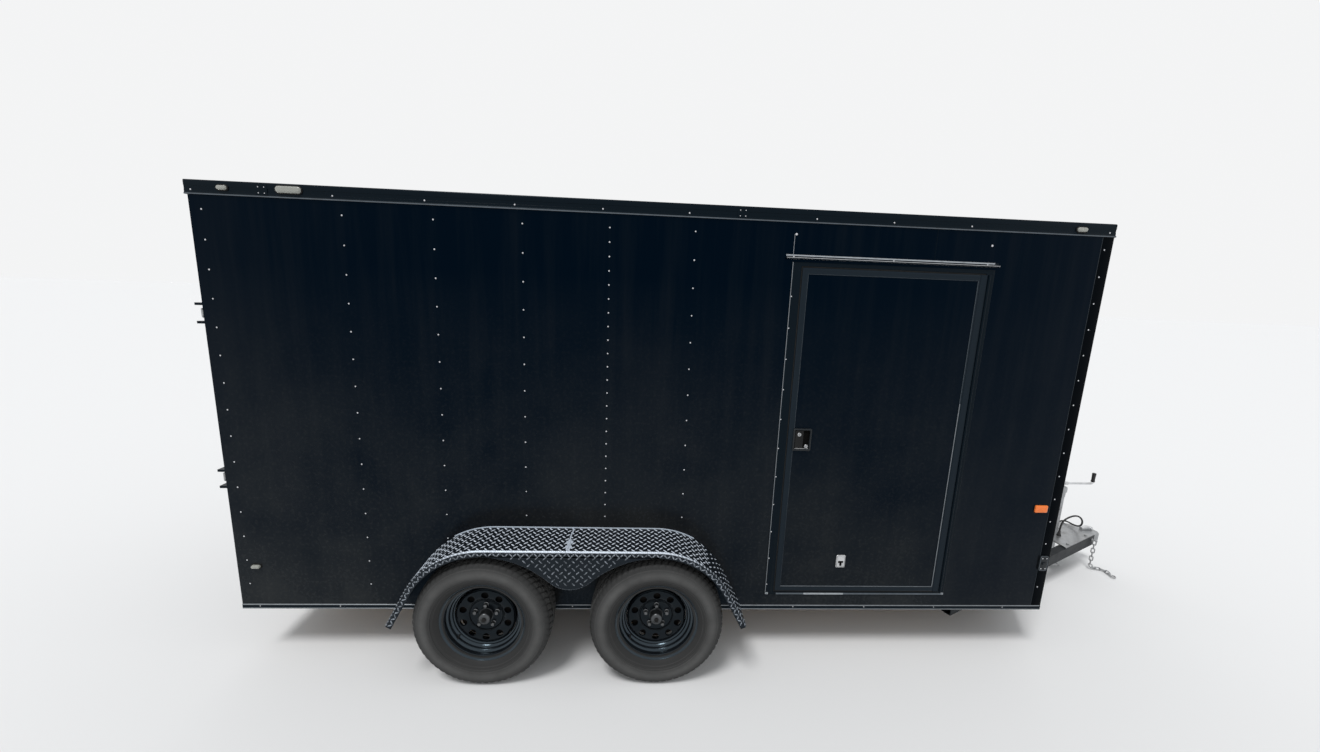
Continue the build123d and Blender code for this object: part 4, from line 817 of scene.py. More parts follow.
def make_rails():
    """Roof rails, their bright lower edge, joint covers and screws."""
    z0, z1 = RAIL_FOOT, ROOF_EDGE + 8.0
    rail = [
        (-5, z0), (7.6, z0), (7.6, z0 + 6), (6.0, z0 + 7.5), (5, z0 + 9), (5, z0 + 20), (4, z0 + 21),
        (4, z0 + 37), (5, z0 + 38), (5, z1 - 7), (4, z1 - 3.2), (2, z1 - 0.8), (-0.5, z1), (-5, z1),
    ]
    bright = moved([(7.5, 0.4), (8.0, 0.4), (8.0, 5.6), (7.5, 5.6)], 0, z0)
    rails, edges = [], []
    for side, wall in SIDES.items():
        for profile, made, rear in ((rail, rails, -9.0), (bright, edges, -8.0)):
            made.append(run(wall, profile, rear, CORNER - 1.0, 0.0, CORNER_CUT))
            made.append(run(NOSES[side], profile, 1.0, NOSE_SIDE, -CORNER_CUT, TIP_CUT))
    piece("roof_rails", rails, "trim", stands_for=["top_rails"])
    piece("roof_rail_edges", edges, "edge")
    cover = [(4.4, z0 + 9), (6.2, z0 + 9.6), (6.2, z1 - 5.6), (4.4, z1 - 5)]
    stations = (323.0, 2510.0)
    joints = [run(wall, cover, s - 26, s + 26) for s in stations for wall in SIDES.values()]
    piece("roof_rail_joints", joints, "trim", edge=0.5)
    joint_s = np.add.outer(stations, (-13, 13, -13, 13)).ravel()
    joint_z = np.tile(z0 + np.array([18, 18, 44, 44]), len(stations))
    plain = np.concatenate([[20.0], 630.0 + STUD_PITCH * np.arange(5), [2869.0, 3250.0, 3640.0, CORNER - 30.0]])
    s = np.concatenate([joint_s, plain])
    z = np.concatenate([joint_z, np.full(len(plain), z0 + 20.0)])
    screws_both("rail_screws_", SIDES, s, z, 4.2)
    screws_both("nose_rail_screws_", NOSES, np.linspace(60.0, NOSE_SIDE - 60.0, 4), z0 + 29.0, 4.0)


def make_skirts():
    """Skirt trims, two rubbed edges on each, and their screws."""
    skirt = [
        (0, 0), (3.2, 0), (4, 0.8), (4, 11), (3.2, 12.5), (3.2, 20), (4, 22), (4, 26), (3.0, 27), (0, 27),
    ]
    upper = [(3.9, 22.4), (4.3, 22.4), (4.3, 26), (3.0, 27.3), (2.6, 27.3)]
    lower = [(3.1, 0.1), (4.4, 0.8), (4.4, 5.0), (3.6, 5.6)]
    end = CORNER - 4.0
    walls = SIDES.values()
    skirts = [run(wall, moved(skirt, 0, FOOT), 0.0, end) for wall in walls]
    piece("skirts", skirts, "trim", stands_for=["skirt_trims"])
    edges = [run(wall, moved(line, 0, FOOT), 0.5, end - 0.5) for wall in walls for line in (upper, lower)]
    piece("skirt_edges", edges, "rubbed")
    skirt_s = np.arange(90.0, end, STUD_PITCH)
    screws_both("skirt_screws_", SIDES, skirt_s, FOOT + 16.0, 3.1, radius=3.4, height=1.6)


def make_corners():
    """Trims round the body's corners and the nose's tip, with their screws."""
    corners, edges = [], []
    # A thin light line at the trim's rear edge: a painted highlight
    edge = moved([(-58.4, 1.6), (-58.4, 2.4), (-57.6, 3.2), (-56.8, 3.2), (-57, 1.6)], CORNER, 0)
    near = np.linspace(0.25, 1, 4)
    for side, wall in SIDES.items():
        nose = NOSES[side]
        loop = np.concatenate([
            wall.at(CORNER - np.array([58, 58, 56.5, 8]), [0.2, 2.0, 3.0, 3.0], 0.0),
            wall.at(CORNER - 8 + 8 * near, 3.0 - 0.5 * near**2, 0.0),
            nose.at(8 * (near - 0.25), 3.0 - 0.5 * near[::-1] ** 2, 0.0),
            nose.at([8, 50.5, 52, 52, 0], [3.0, 3.0, 2.0, 0.2, 0.2], 0.0),
        ])
        corners.append(capped(np.stack([loop + FOOT * UP, loop + RAIL_FOOT * UP])))
        edges.append(upright(wall, edge, FOOT + 1, RAIL_FOOT - 1))
    heights = row_heights(FOOT + 60.0)
    screws_both("corner_screws_", SIDES, CORNER - 40.0, heights, 2.9)
    screws_both("corner_nose_screws_", NOSES, 26.0, heights, 2.9)
    piece("corner_trim_pair", corners, "corner", stands_for=["corner_trims"])
    piece("corner_trim_edges", edges, "dim_edge_highlight")
    cap = moved([(-42, 0.2), (-42, 2.0), (-40.5, 3.0), (3 * TIP_CUT, 3.0), (0.2, 0.2)], NOSE_SIDE, 0)
    tip = [upright(nose, cap, GUARD_TOP, RAIL_FOOT) for nose in NOSES.values()]
    piece("nose_cap_trim", tip, "trim", stands_for=["nose_trim"])
    cap_z = np.arange(GUARD_TOP + 50, RAIL_FOOT, STUD_PITCH / 2)
    screws_both("nose_cap_screws_", NOSES, NOSE_SIDE - 21.0, cap_z, 2.9)


def make_guard(pitch):
    """Edges, raised tread and screws of the stone guard."""
    edges, marks, wear = [], [], []
    shape, worn = tread_mark()
    for nose in NOSES.values():
        for z, tall in ((GUARD_TOP - 1, 12), (FOOT, 24)):
            edge = [(0.5, z), (4.2, z), (4.2, z + tall - 2), (3.0, z + tall), (0.5, z + tall)]
            edges.append(run(nose, edge, 2.0, NOSE_SIDE, 0.0, TIP_CUT))
        s, z = tread_places(62.0, NOSE_SIDE - 10.0, FOOT + 34.0, GUARD_TOP - 10.0, pitch)
        marks.append(leaning(shape, nose.at(s, 1.9, z), nose.along, UP, nose.out))
        wear.append(np.tile(worn * 0.55, len(s)))
    piece("stone_guard_edges", edges, "edge")
    piece("stone_guard_tread", marks, "plate", wear=np.concatenate(wear))
    screws_both("stone_guard_screws_", NOSES, np.linspace(80.0, NOSE_SIDE - 60, 6), GUARD_TOP + 4.0, 4.0)


def tread_mark(length=27.0, width=6.4, height=MARK_HEIGHT):
    """One raised mark of tread plate: a pointed oval with a ridge along its middle."""
    a, b = length / 2, width / 2
    ring = [(-a, 0), (-a * 0.45, -b), (a * 0.45, -b), (a, 0), (a * 0.45, b), (-a * 0.45, b)]
    verts = np.array(
        [(x, y, -0.2) for x, y in ring]
        + [(x * 0.86, y * 0.72, height * 0.75) for x, y in ring]
        + [(-a * 0.5, 0, height), (a * 0.5, 0, height)]
    )
    here = np.arange(6)
    after = (here + 1) % 6
    walls = np.stack([here, after, after + 6, here + 6], -1)
    flanks = np.array([[7, 8, 13, 12], [10, 11, 12, 13]])
    points = np.array([[6, 7, 12], [8, 9, 13], [9, 10, 13], [11, 6, 12]])
    wear = np.repeat([0.4, 1.0], [6, 8])
    return (verts, [np.concatenate([walls, flanks]), points, here[None, ::-1]]), wear


def tread_places(s0, s1, t0, t1, pitch):
    """Rows of tread marks: neighbours lean opposite ways, every other row is shifted.
    Those that lean one way come at even places of the list."""
    s = np.arange(s0, s1, pitch / 2)
    t = np.arange(t0, t1, pitch / 2)
    big_s, big_t = np.meshgrid(s, t, indexing="ij")
    filled = (np.arange(len(s))[:, None] + np.arange(len(t))) % 2 == 0
    flat_s, flat_t = big_s[filled], big_t[filled]
    lean = ((flat_s - s0) // (pitch / 2)).astype(int) % 2
    pairs = min((lean == 0).sum(), (lean == 1).sum())
    order = np.stack([np.flatnonzero(lean == way)[:pairs] for way in (0, 1)], -1).ravel()
    return flat_s[order], flat_t[order]


def alternate(count):
    """1 and -1 in turn."""
    return np.where(np.arange(count) % 2 == 0, 1.0, -1.0)


def leaning(shape, places, along, across, out, lean=None):
    """Marks at an eighth of a turn from along, leaning this way and that in turn."""
    along, across = np.asarray(along, float), np.asarray(across, float)
    lean = (alternate(len(places)) if lean is None else lean)[:, None]
    ahead = (along + lean * across) / np.sqrt(2)
    return copies(shape, places, ahead, (across - lean * along) / np.sqrt(2), out)


# Pieces: side door


def make_side_door(sizes):
    """Casing edge, leaf skin and band, hinge pin caps, latch, hold-back, catch, drip rail."""
    leaf = (DOOR_REAR, DOOR_FRONT, DOOR_LOW[2], DOOR_HIGH[2])
    make_casing(RIGHT, pulled_in(leaf, -7))
    make_leaf(RIGHT, leaf, sizes.bow * 600.0)
    make_hinge(RIGHT, leaf)
    make_latch(RIGHT)
    make_holdback(RIGHT)
    make_drip_rail(RIGHT)


def make_casing(wall, opening):
    """The casing's flange, rolled lip, bright lines and corner spots that are painted highlights, screws and door
    seal.
    """
    s0, s1, z0, z1 = outer = (CASING_LOW[0], CASING_HIGH[0], CASING_LOW[2], CASING_HIGH[2])
    flange = [
        (0.0, 0.2), (0.0, 4.6), (0.04, 6.0), (0.10, 6.6), (0.22, 6.6), (0.30, 5.8), (0.62, 5.8), (0.72, 6.8),
        (0.94, 6.8), (1.0, 6.2), (1.0, 0.2),
    ]
    piece("casing_flange", [frame_ring(wall, outer, opening, flange)], "trim")
    lip = [(0.0, 0.2), (0.0, 5.4), (0.5, 6.6), (1.0, 6.6), (1.0, 4.6), (0.45, 0.2)]
    rolled = frame_ring(wall, pulled_in(outer, -1.6), pulled_in(outer, 2.0), lip)
    piece("casing_edge", [rolled], "trim")
    # Bright lines along the casing's foot and rear edge, and spots at its lower corners: painted highlights
    foot = moved([(6.4, -1.4), (7.6, -1.4), (7.6, 5), (6.4, 7)], 0, z0)
    worn = moved([(6.4, -1.8), (7.9, -1.8), (7.9, 5.4), (6.4, 7)], 0, z0)
    rear = moved([(-1.4, 5.0), (-1.2, 6.4), (1.6, 7.1), (1.6, 5.0)], s0, 0)
    bend = [(0, 5.6), (0.6, 7.4), (2.6, 8.0), (4.4, 7.2)]
    casing_corner_highlights = [hoop(wall, s, z0 + 5, 15, 13, 4.0, bend, 16) for s in (s0 + 9, s1 - 9)]
    piece("casing_foot_line", [run(wall, foot, s0 + 60, s1 - 8)], "edge")
    piece("casing_rear_line", [upright(wall, rear, z0, z1)], "rubbed")
    piece("casing_worn_foot", [run(wall, worn, s0 + 215, s0 + 440)] + casing_corner_highlights, "highlit_bare_edge")
    heights = np.arange(z0 + 60, z1 - 20, 156.0)
    front = heights[::2]
    s = np.repeat([s0 + 5.0, s1 - 12.0], [len(heights), len(front)])
    screws("casing_screws", wall, s, np.concatenate([heights, front]), 6.4, radius=3.6, height=2.0)
    seal = [(0.0, 3.0), (0.0, 5.2), (0.5, 6.0), (1.0, 5.2), (1.0, 3.0)]
    sealed = frame_ring(wall, pulled_in(opening, 1.2), pulled_in(opening, 5.6), seal)
    piece("door_seal", [sealed], "seal")


def make_leaf(wall, leaf, depth):
    """The leaf's band, its bright inner lines and the bowed skin inside them."""
    band = [
        (0.0, 5.2), (0.0, 6.4), (0.08, 7.6), (0.30, 7.9), (0.38, 7.2), (0.62, 7.2), (0.70, 7.9), (0.92, 7.4),
        (1.0, 6.0), (1.0, 3.0), (0.6, 3.0), (0.6, 5.2),
    ]
    inner = pulled_in(leaf, BAND)
    piece("door_band", [frame_ring(wall, leaf, inner, band)], "band", "side_door")
    line_in = pulled_in(leaf, BAND - 1.8)
    line = [(0.0, 7.0), (0.5, 8.1), (1.0, 7.0)]
    edge = frame_ring(wall, pulled_in(leaf, BAND - 3.6), line_in, line)
    piece("door_band_edge", [edge], "edge", "side_door")
    s0, s1, z0, _ = line_in
    sill = moved([(6.8, -3.4), (8.3, -2.6), (8.3, -0.6), (6.6, 0)], 0, z0)
    side = moved([(-0.4, 6.4), (-0.2, 8.4), (3.2, 8.4), (3.6, 7.0)], s1, 0)
    lines = [run(wall, sill, s0, s1), upright(wall, side, z0, z0 + 1050.0)]
    piece("door_worn_edges", lines, "rubbed", "side_door")
    s0, s1, z0, z1 = pulled_in(inner, -1)
    bays = np.array([s0, DOOR_REAR + LEAF_WIDTH / 2, s1])
    skin = sheet(wall, lines_over(s0, s1), lines_over(z0, z1), bowed(depth, bays, 4.7))
    piece("door_skin", [skin], "door_skin", "side_door")


def make_hinge(wall, leaf):
    """Long hinge: barrel, cap on each end of its pin, and the strap over its leaves."""
    low, high = mm_box("door_hinge")
    pin_s, pin_d = DOOR_FRONT + 20.0, 12.0
    cap = [(0, 6.2), (1.2, 6.2), (2.6, 5.0), (3.2, 2.0)]
    tall = high[2] - low[2] - 3.0
    barrel = [(0, 4.0), (0, 6.2), (tall, 6.2), (tall, 4.0)]
    shapes = [
        lathe(cap, wall.at(pin_s, pin_d, high[2] - 1), UP, 20),
        lathe(cap, wall.at(pin_s, pin_d, low[2] + 1), -UP, 20),
        lathe(barrel, wall.at(pin_s, pin_d, low[2] + 1.5), UP, 24),
    ]
    piece("hinge_barrel", shapes, "trim")
    rear, ahead = leaf[1] - 20.6, pin_s - 6.6
    strap = [(rear, 5.8), (rear, 8.8), (rear + 0.8, 9.4), (ahead, 9.4), (ahead, 5.8)]
    piece("hinge_strap", [upright(wall, strap, leaf[2] - 0.5, leaf[3] + 0.5)], "band", "side_door")


def make_drip_rail(wall):
    """Rail over the door with its bright lip and face, both painted highlights, and the sheet joints above the
    door.
    """
    low, high = mm_box("drip_rail")
    d = -HALF - low[1]
    z0, z1 = low[2], high[2]
    channel = [
        (0.2, z0 + 1), (d - 1, z0), (d, z0 + 1), (d, z0 + 6), (d - 1.6, z0 + 6.4), (d - 2.4, z0 + 2.4),
        (4.0, z0 + 3.2), (2.6, z0 + 5), (2.4, z1 - 1), (1.6, z1), (0.2, z1),
    ]
    piece("drip_channel", [run(wall, channel, low[0], high[0])], "trim", stands_for=["drip_rail"])
    lip = moved([(-1.2, 0.3), (-0.1, 0.8), (-0.1, 7.6), (-1.6, 8.2), (-1.2, 5.0)], d, z0)
    face = moved([(2.2, -7.4), (3.2, -6.8), (3.2, -0.8), (2.0, 0.4)], 0, z1)
    # Bright lip and face along the rail: painted highlights
    piece("drip_lip", [run(wall, lip, low[0] + 0.5, high[0] - 0.5)], "bright")
    piece("drip_face", [run(wall, face, low[0] + 0.5, high[0] - 20.0)], "highlit_bare_edge")
    rail_s = [low[0] + 38, (low[0] + high[0]) / 2, high[0] - 58]
    screws("drip_screws", wall, rail_s, z0 + 11.5, 2.8)
    joint = [(-1.2, 1.8), (-0.7, 3.0), (0.7, 3.0), (1.2, 1.8)]
    top = ROW_TOP + 8.0
    # The joint by the casing gets a bright line, a painted highlight; the other stays black
    for station, joint_top, name, finish in (
        (CASING_LOW[0] - 1, top, "door_seams", "highlit_bare_edge"),
        (CASING_LOW[0] + SHEET_AHEAD, RAIL_FOOT, "sheet_seam", "trim"),
    ):
        piece(name, [upright(wall, moved(joint, station, 0), z1, joint_top)], finish)
    top_s = [CASING_LOW[0] + 6, CASING_HIGH[0] - 32]
    screws("door_top_screws", wall, top_s, [top, top - 12.0], 2.6, radius=6.5, height=3.4)


def make_latch(wall):
    """Flush latch in the door: rim, recess, paddle and two key cylinders."""
    low, high = mm_box("door_latch")
    s, _, z = (low + high) / 2
    width, _, height = high - low
    d = -HALF - low[1]
    rim = [(0, 3.4), (0, d - 3), (1.4, d - 0.8), (3.2, d), (7.0, d), (8.8, d - 1.2), (9.6, d - 3), (10, 3.4)]
    piece("latch_rim", [hoop(wall, s, z, width, height, 9.0, rim)], "grey_plastic", "side_door",
          stands_for=["door_latch"])
    # Latch recess: painted shade
    pan = dish(wall, s, z, width - 12, height - 12, 4.0, [(0, 3.0), (0, 6.4), (0.6, 6.8)])
    piece("latch_pan", [pan], "recess_shade", "side_door")
    grip_s = low[0] + 11 + 23
    rise = [(0, 5.0), (0, 9.0), (1.2, 10.4), (4.0, 11.2), (12, 9.4), (19, 9.0)]
    grip = dish(wall, grip_s, z, 44, height - 23, 5.0, rise)
    piece("latch_paddle", [grip], "latch", "side_door")
    keys, slots = [], []
    key = [(6, 10), (12.2, 10), (13.4, 9), (13.4, 7), (12.6, 6.6), (12.8, 3)]
    for key_s, key_z in ((grip_s - 1, high[2] - 33), (high[0] - 25, low[2] + 25)):
        keys.append(lathe(key, wall.at(key_s, 0.0, key_z), wall.out, 32))
        # Key slots: painted shade
        slots.append(box(wall.at(key_s - 1.0, 12.5, key_z - 5), wall.at(key_s + 1.0, 13.2, key_z + 5), 0.3))
    piece("latch_keys", keys, "zinc", "side_door")
    piece("latch_key_slots", slots, "recess_shade", "side_door")
    bar = moved([(6.0, 11), (11.6, 11), (12.2, 12.4), (11.0, 13.4), (6, 13.4)], 0, low[2])
    piece("latch_bar", [run(wall, bar, low[0] + 13, high[0] - 13)], "bright", "side_door")


def make_holdback(wall):
    """Hold-back plate on the door, and its catch on the corner trim."""
    low, high = mm_box("door_holdback")
    s, _, z = (low + high) / 2
    z += 4.0
    width, height = 52.0, 75.0
    d = -HALF - low[1]
    plate = dish(wall, s, z, width, height, 9.0, [(0, 3.6), (0, d - 2.4), (0.8, d - 0.8), (2.4, d)])
    piece("holdback_plate", [plate], "bright", "side_door", stands_for=["door_holdback"])
    groove = [(0, d - 1), (0, d + 0.15), (1.6, d + 0.15), (1.6, d - 1)]
    # Slot and groove round the plate: painted shadow
    recess_shade = [
        dish(wall, s, z - 3, 29, 12, 3.0, [(0, d - 1), (0, d + 0.25)], 24),
        dish(wall, s, z - 15, 12, 22, 3.0, [(0, d - 1), (0, d + 0.3)], 24),
        hoop(wall, s, z, width - 7, height - 7, 7.0, groove),
    ]
    piece("holdback_slot", recess_shade, "recess_shade", "side_door")
    screws("holdback_screws", wall, [s - 15, s + 15], z + 24, d - 0.2, "side_door", 4.2, 1.8, "bright_plate")
    low, high = mm_box("holdback_catch")
    s, _, z = (low + high) / 2
    s -= 7.0
    width, _, height = high - low
    base = dish(wall, s, z, width, height, 11.0, [(0, 2.8), (0, 8.6), (0.8, 10.2), (2.6, 11)])
    stud_d = -HALF - low[1]
    stud = dish(wall, s, z, 24, 14, 3.0, [(0, 10.6), (0, stud_d - 1.4), (1.4, stud_d)], 24)
    piece("holdback_catch_body", [base, stud], "grey_plastic", stands_for=["holdback_catch"])
    ring = [(0.4, 9.6), (1.0, 11.2), (2.4, 11.9), (4.0, 11.2), (4.0, 10.0)]
    piece("holdback_catch_rim", [hoop(wall, s, z, width, height, 11.0, ring)], "edge")
    catch_z = [z - 31, z - 31, z + 31, z + 31]
    screws("holdback_catch_screws", wall, [s - 12, s + 12] * 2, catch_z, 10.9, radius=4.0, height=1.4)


# Pieces: fenders and wheels


def fender_path():
    """Outer outline of a fender in side view: points (station, height) from the rear
    tip over the top to the front tip, and the way each faces."""
    top, tip = FENDER_HIGH[2], FENDER_LOW[2]
    arc, turn = 420.0, np.radians(62.0)
    half = (FENDER_HIGH[0] - FENDER_LOW[0]) / 2
    leg = top - tip - arc * (1 - np.cos(turn))
    flat = half - arc * np.sin(turn) - leg / np.tan(turn)
    angle = np.linspace(0, turn, 22)
    arc_s = flat + arc * np.sin(angle)
    arc_z = top - arc + arc * np.cos(angle)
    tail = np.linspace(0, 1, 12)[1:]
    s = np.concatenate([np.linspace(0, flat, 22)[:-1], arc_s, arc_s[-1] + tail * leg / np.tan(turn)])
    z = np.concatenate([np.full(21, top), arc_z, arc_z[-1] - tail * leg])
    facing = np.concatenate([np.zeros(21), angle, np.full(11, turn)])
    s = np.concatenate([-s[:0:-1], s]) + AXLES_MIDDLE
    z = np.concatenate([z[:0:-1], z])
    facing = np.concatenate([-facing[:0:-1], facing])
    length = np.concatenate([[0.0], np.cumsum(np.hypot(np.diff(s), np.diff(z)))])
    return s, z, facing, length


def fender_ways(facing):
    """Directions out of a fender's top and ahead along it, from the way it faces."""
    still = np.zeros_like(facing)
    up = np.stack([np.sin(facing), still, np.cos(facing)], -1)
    return up, np.stack([up[..., 2], still, -up[..., 0]], -1)


def fender_section(face):
    """Section of the bent plate, a closed line of (distance out, height over the path), and how rubbed each of
    its points is:
    worn paint along the bend that peaks at its middle, a painted highlight."""
    turn = np.linspace(0, np.pi / 2, 9)
    inner = FENDER_BEND - FENDER_PLATE
    centre = face - FENDER_BEND
    w = np.concatenate([
        [0.0, 2.0], centre + FENDER_BEND * np.sin(turn), [face] * 2,
        [face - FENDER_PLATE] * 2, (centre + inner * np.sin(turn))[::-1], [2.0, 0.0],
    ])
    h = np.concatenate([
        [0.0, 0.0], -FENDER_BEND + FENDER_BEND * np.cos(turn), [-20.0, -FENDER_LIP],
        [-FENDER_LIP, -20.0], (-FENDER_BEND + inner * np.cos(turn))[::-1], [-FENDER_PLATE] * 2,
    ])
    # Bare metal on the bend, peaking at its middle: worn paint and a painted highlight on the round bend
    rub = np.zeros(len(w))
    rub[2:11] = [0.35, 0.55, 0.72, 0.84, 0.84, 0.84, 0.72, 0.55, 0.35]
    return w, h, rub


def drop_edge(s):
    """Height of the lower edge of the plate between the wheels: two wheel arches of
    490 mm joined by a 145 mm round."""
    arch, round_off = 490.0, 145.0
    peak = FENDER_HIGH[2] - FENDER_LIP
    half = 432.0
    reach = arch + round_off
    round_z = peak - arch + np.sqrt(reach**2 - half**2)
    away = np.abs(s - AXLES_MIDDLE)
    touch = half * round_off / reach
    on_arch = peak - arch + np.sqrt(np.maximum(arch**2 - (half - away) ** 2, 0.0))
    on_round = round_z - np.sqrt(np.maximum(round_off**2 - away**2, 0.0))
    return np.where(away > touch, on_arch, on_round)


def fade_from_middle(s, reach):
    """1 near the middle of the axles, and 0 from the reach on."""
    return np.clip((reach - np.abs(s - AXLES_MIDDLE)) / 260.0, 0.0, 1.0)


def make_fenders(sizes):
    """Bent tread-plate fenders with raised marks, a bright worn bend, a worn inner edge and a weld across the
    middle.
    The bend's bare metal and the pale inner edge and weld are worn metal and, in part, painted highlights."""
    top = FENDER_HIGH[2]
    face = FENDER_HIGH[1] - HALF - MARK_HEIGHT
    s, z, facing, length = fender_path()
    normal = fender_ways(facing)[0]
    section_w, section_h, rub = fender_section(face)
    shape, worn = tread_mark(28.0, 8.2)
    notch = tread_mark(15.0, 6.0, 1.2)[0]
    pitch = sizes.tread_pitch * 1000.0
    end = length[-1]
    weld_s = AXLES_MIDDLE - 12.0
    shells, marks, rims, welds = [], [], [], []
    shell_wear_and_highlight, wear_marks = [], []
    for sign in SIGNS.values():
        out = np.array([0.0, sign, 0.0])
        base = np.stack([s, np.full_like(s, sign * HALF), z], -1)

        def carried(w, h):
            """A section of (distance out, height) carried along the fender."""
            w, h = np.asarray(w, float)[:, None], np.asarray(h, float)[:, None]
            return base[:, None] + w * out + h * normal[:, None]

        def on_path(at, w):
            """Points at lengths along the fender and a distance out, and their ways."""
            y = np.broadcast_to(sign * (HALF + w), at.shape)
            places = np.stack([np.interp(at, length, s), y, np.interp(at, length, z)], -1)
            return places, *fender_ways(np.interp(at, length, facing))

        shells.append(capped(carried(section_w, section_h)))
        # Bend wear, stronger between the wheels: worn paint and a painted highlight
        shell_wear_and_highlight.append((rub * (0.42 + 0.58 * fade_from_middle(s, 700.0)[:, None])).ravel())
        drop_s = np.linspace(AXLES_MIDDLE - 430, AXLES_MIDDLE + 430, 87)
        bottom = np.minimum(drop_edge(drop_s), top - 30.0)[:, None]
        drop_z = bottom + np.linspace(0, 1, 14) * (top - 26.0 - bottom)
        plate = np.stack(np.broadcast_arrays(drop_s[:, None], sign * (HALF + face), drop_z), -1)
        shells.append(capped(np.concatenate([plate, plate[:, ::-1] - FENDER_PLATE * out], 1)))
        edge_wear = np.zeros(28)
        edge_wear[[0, 27]] = 0.45
        shell_wear_and_highlight.append(np.tile(edge_wear, len(drop_s)))
        top_l, top_w = tread_places(14.0, end - 10.0, 16.0, face - 4.0, pitch)
        places, up, ahead = on_path(top_l, top_w)
        marks.append(leaning(shape, places, ahead, out, up))
        wear_marks.append(np.tile(np.clip(worn * 1.3, 0, 1), len(top_l)))
        places, up, ahead = on_path(np.arange(18.0, end - 10.0, pitch / 2), face)
        marks.append(leaning(shape, places - 19.0 * up, ahead, -up, out))
        wear_marks.append(np.tile(worn * 0.5, len(places)))
        places, up, ahead = on_path(np.arange(12.0, end - 6.0, pitch / 2), face - 2.6)
        places = places - 2.6 * up
        along = unit(ahead + 0.9 * (out - up) / np.sqrt(2))
        corner = (up + out) / np.sqrt(2)
        marks.append(copies(notch, places, along, np.cross(corner, along), corner))
        # Notches on the bend: worn ridges, brighter between the wheels as a painted highlight
        wear_marks.append(np.repeat(0.5 + 0.5 * fade_from_middle(places[:, 0], 720.0), len(notch[0])))
        at_s, at_z = tread_places(drop_s[0], drop_s[-1], 400.0, top - 34.0, pitch)
        inside = at_z > drop_edge(at_s) + 13.0
        places = np.stack(np.broadcast_arrays(at_s, sign * (HALF + face), at_z), -1)[inside]
        marks.append(leaning(shape, places, (1, 0, 0), UP, out, alternate(len(at_s))[inside]))
        wear_marks.append(np.tile(worn * 0.46, len(places)))
        near = np.abs(s - AXLES_MIDDLE) < 640.0
        rims.append(capped(carried([0.2, 0.2, 4.2, 5.0], [0.0, 5.0, 5.0, 0.0])[near]))
        weld_w = np.linspace(4.0, face - 4.0, 60)
        wobble = 1.0 + 0.35 * np.sin(weld_w * 1.3) + 0.2 * np.sin(weld_w * 3.1)
        path = np.stack([weld_s + 2.5 * np.sin(weld_w / 19.0), sign * (HALF + weld_w), top + 0.6 * wobble], -1)
        welds.append(tube(path, 4.0, 8))
        patch_w = np.linspace(face - 110.0, face - 14.0, 24)[:, None]
        spread = 13.0 + 5.0 * np.sin(patch_w / 7.0) + 3.0 * np.sin(patch_w / 2.3)
        rows = weld_s + spread * (-1.0, 1.0)
        patch = np.stack(np.broadcast_arrays(rows, sign * (HALF + patch_w), top + 1.0), -1)
        welds.append(capped(np.concatenate([patch, patch[:, ::-1] - MARK_HEIGHT * UP], 1)))
    piece("fender_pair", shells, "plate", stands_for=["fenders"], wear=np.concatenate(shell_wear_and_highlight),
          sharp=50.0)
    piece("fender_tread", marks, "plate", wear=np.concatenate(wear_marks))
    # Inner edges and welds: bare metal whose pale colour is partly a painted highlight
    piece("fender_inner_edges", rims, "scraped_and_highlit")
    piece("fender_welds", welds, "scraped_and_highlit")


def wheel_points(centre, sign, out, radius, turn):
    """Points round an axle: distance out, radius, and turn from straight up."""
    out, radius, turn = np.broadcast_arrays(out, radius, turn)
    x, y, z = radius * np.sin(turn), sign * out, radius * np.cos(turn)
    return centre + np.stack([x, y, z], -1)


def mirrored(values):
    """A row of values followed by the same in reverse, without the last one twice."""
    return np.concatenate([values, values[-2::-1]])


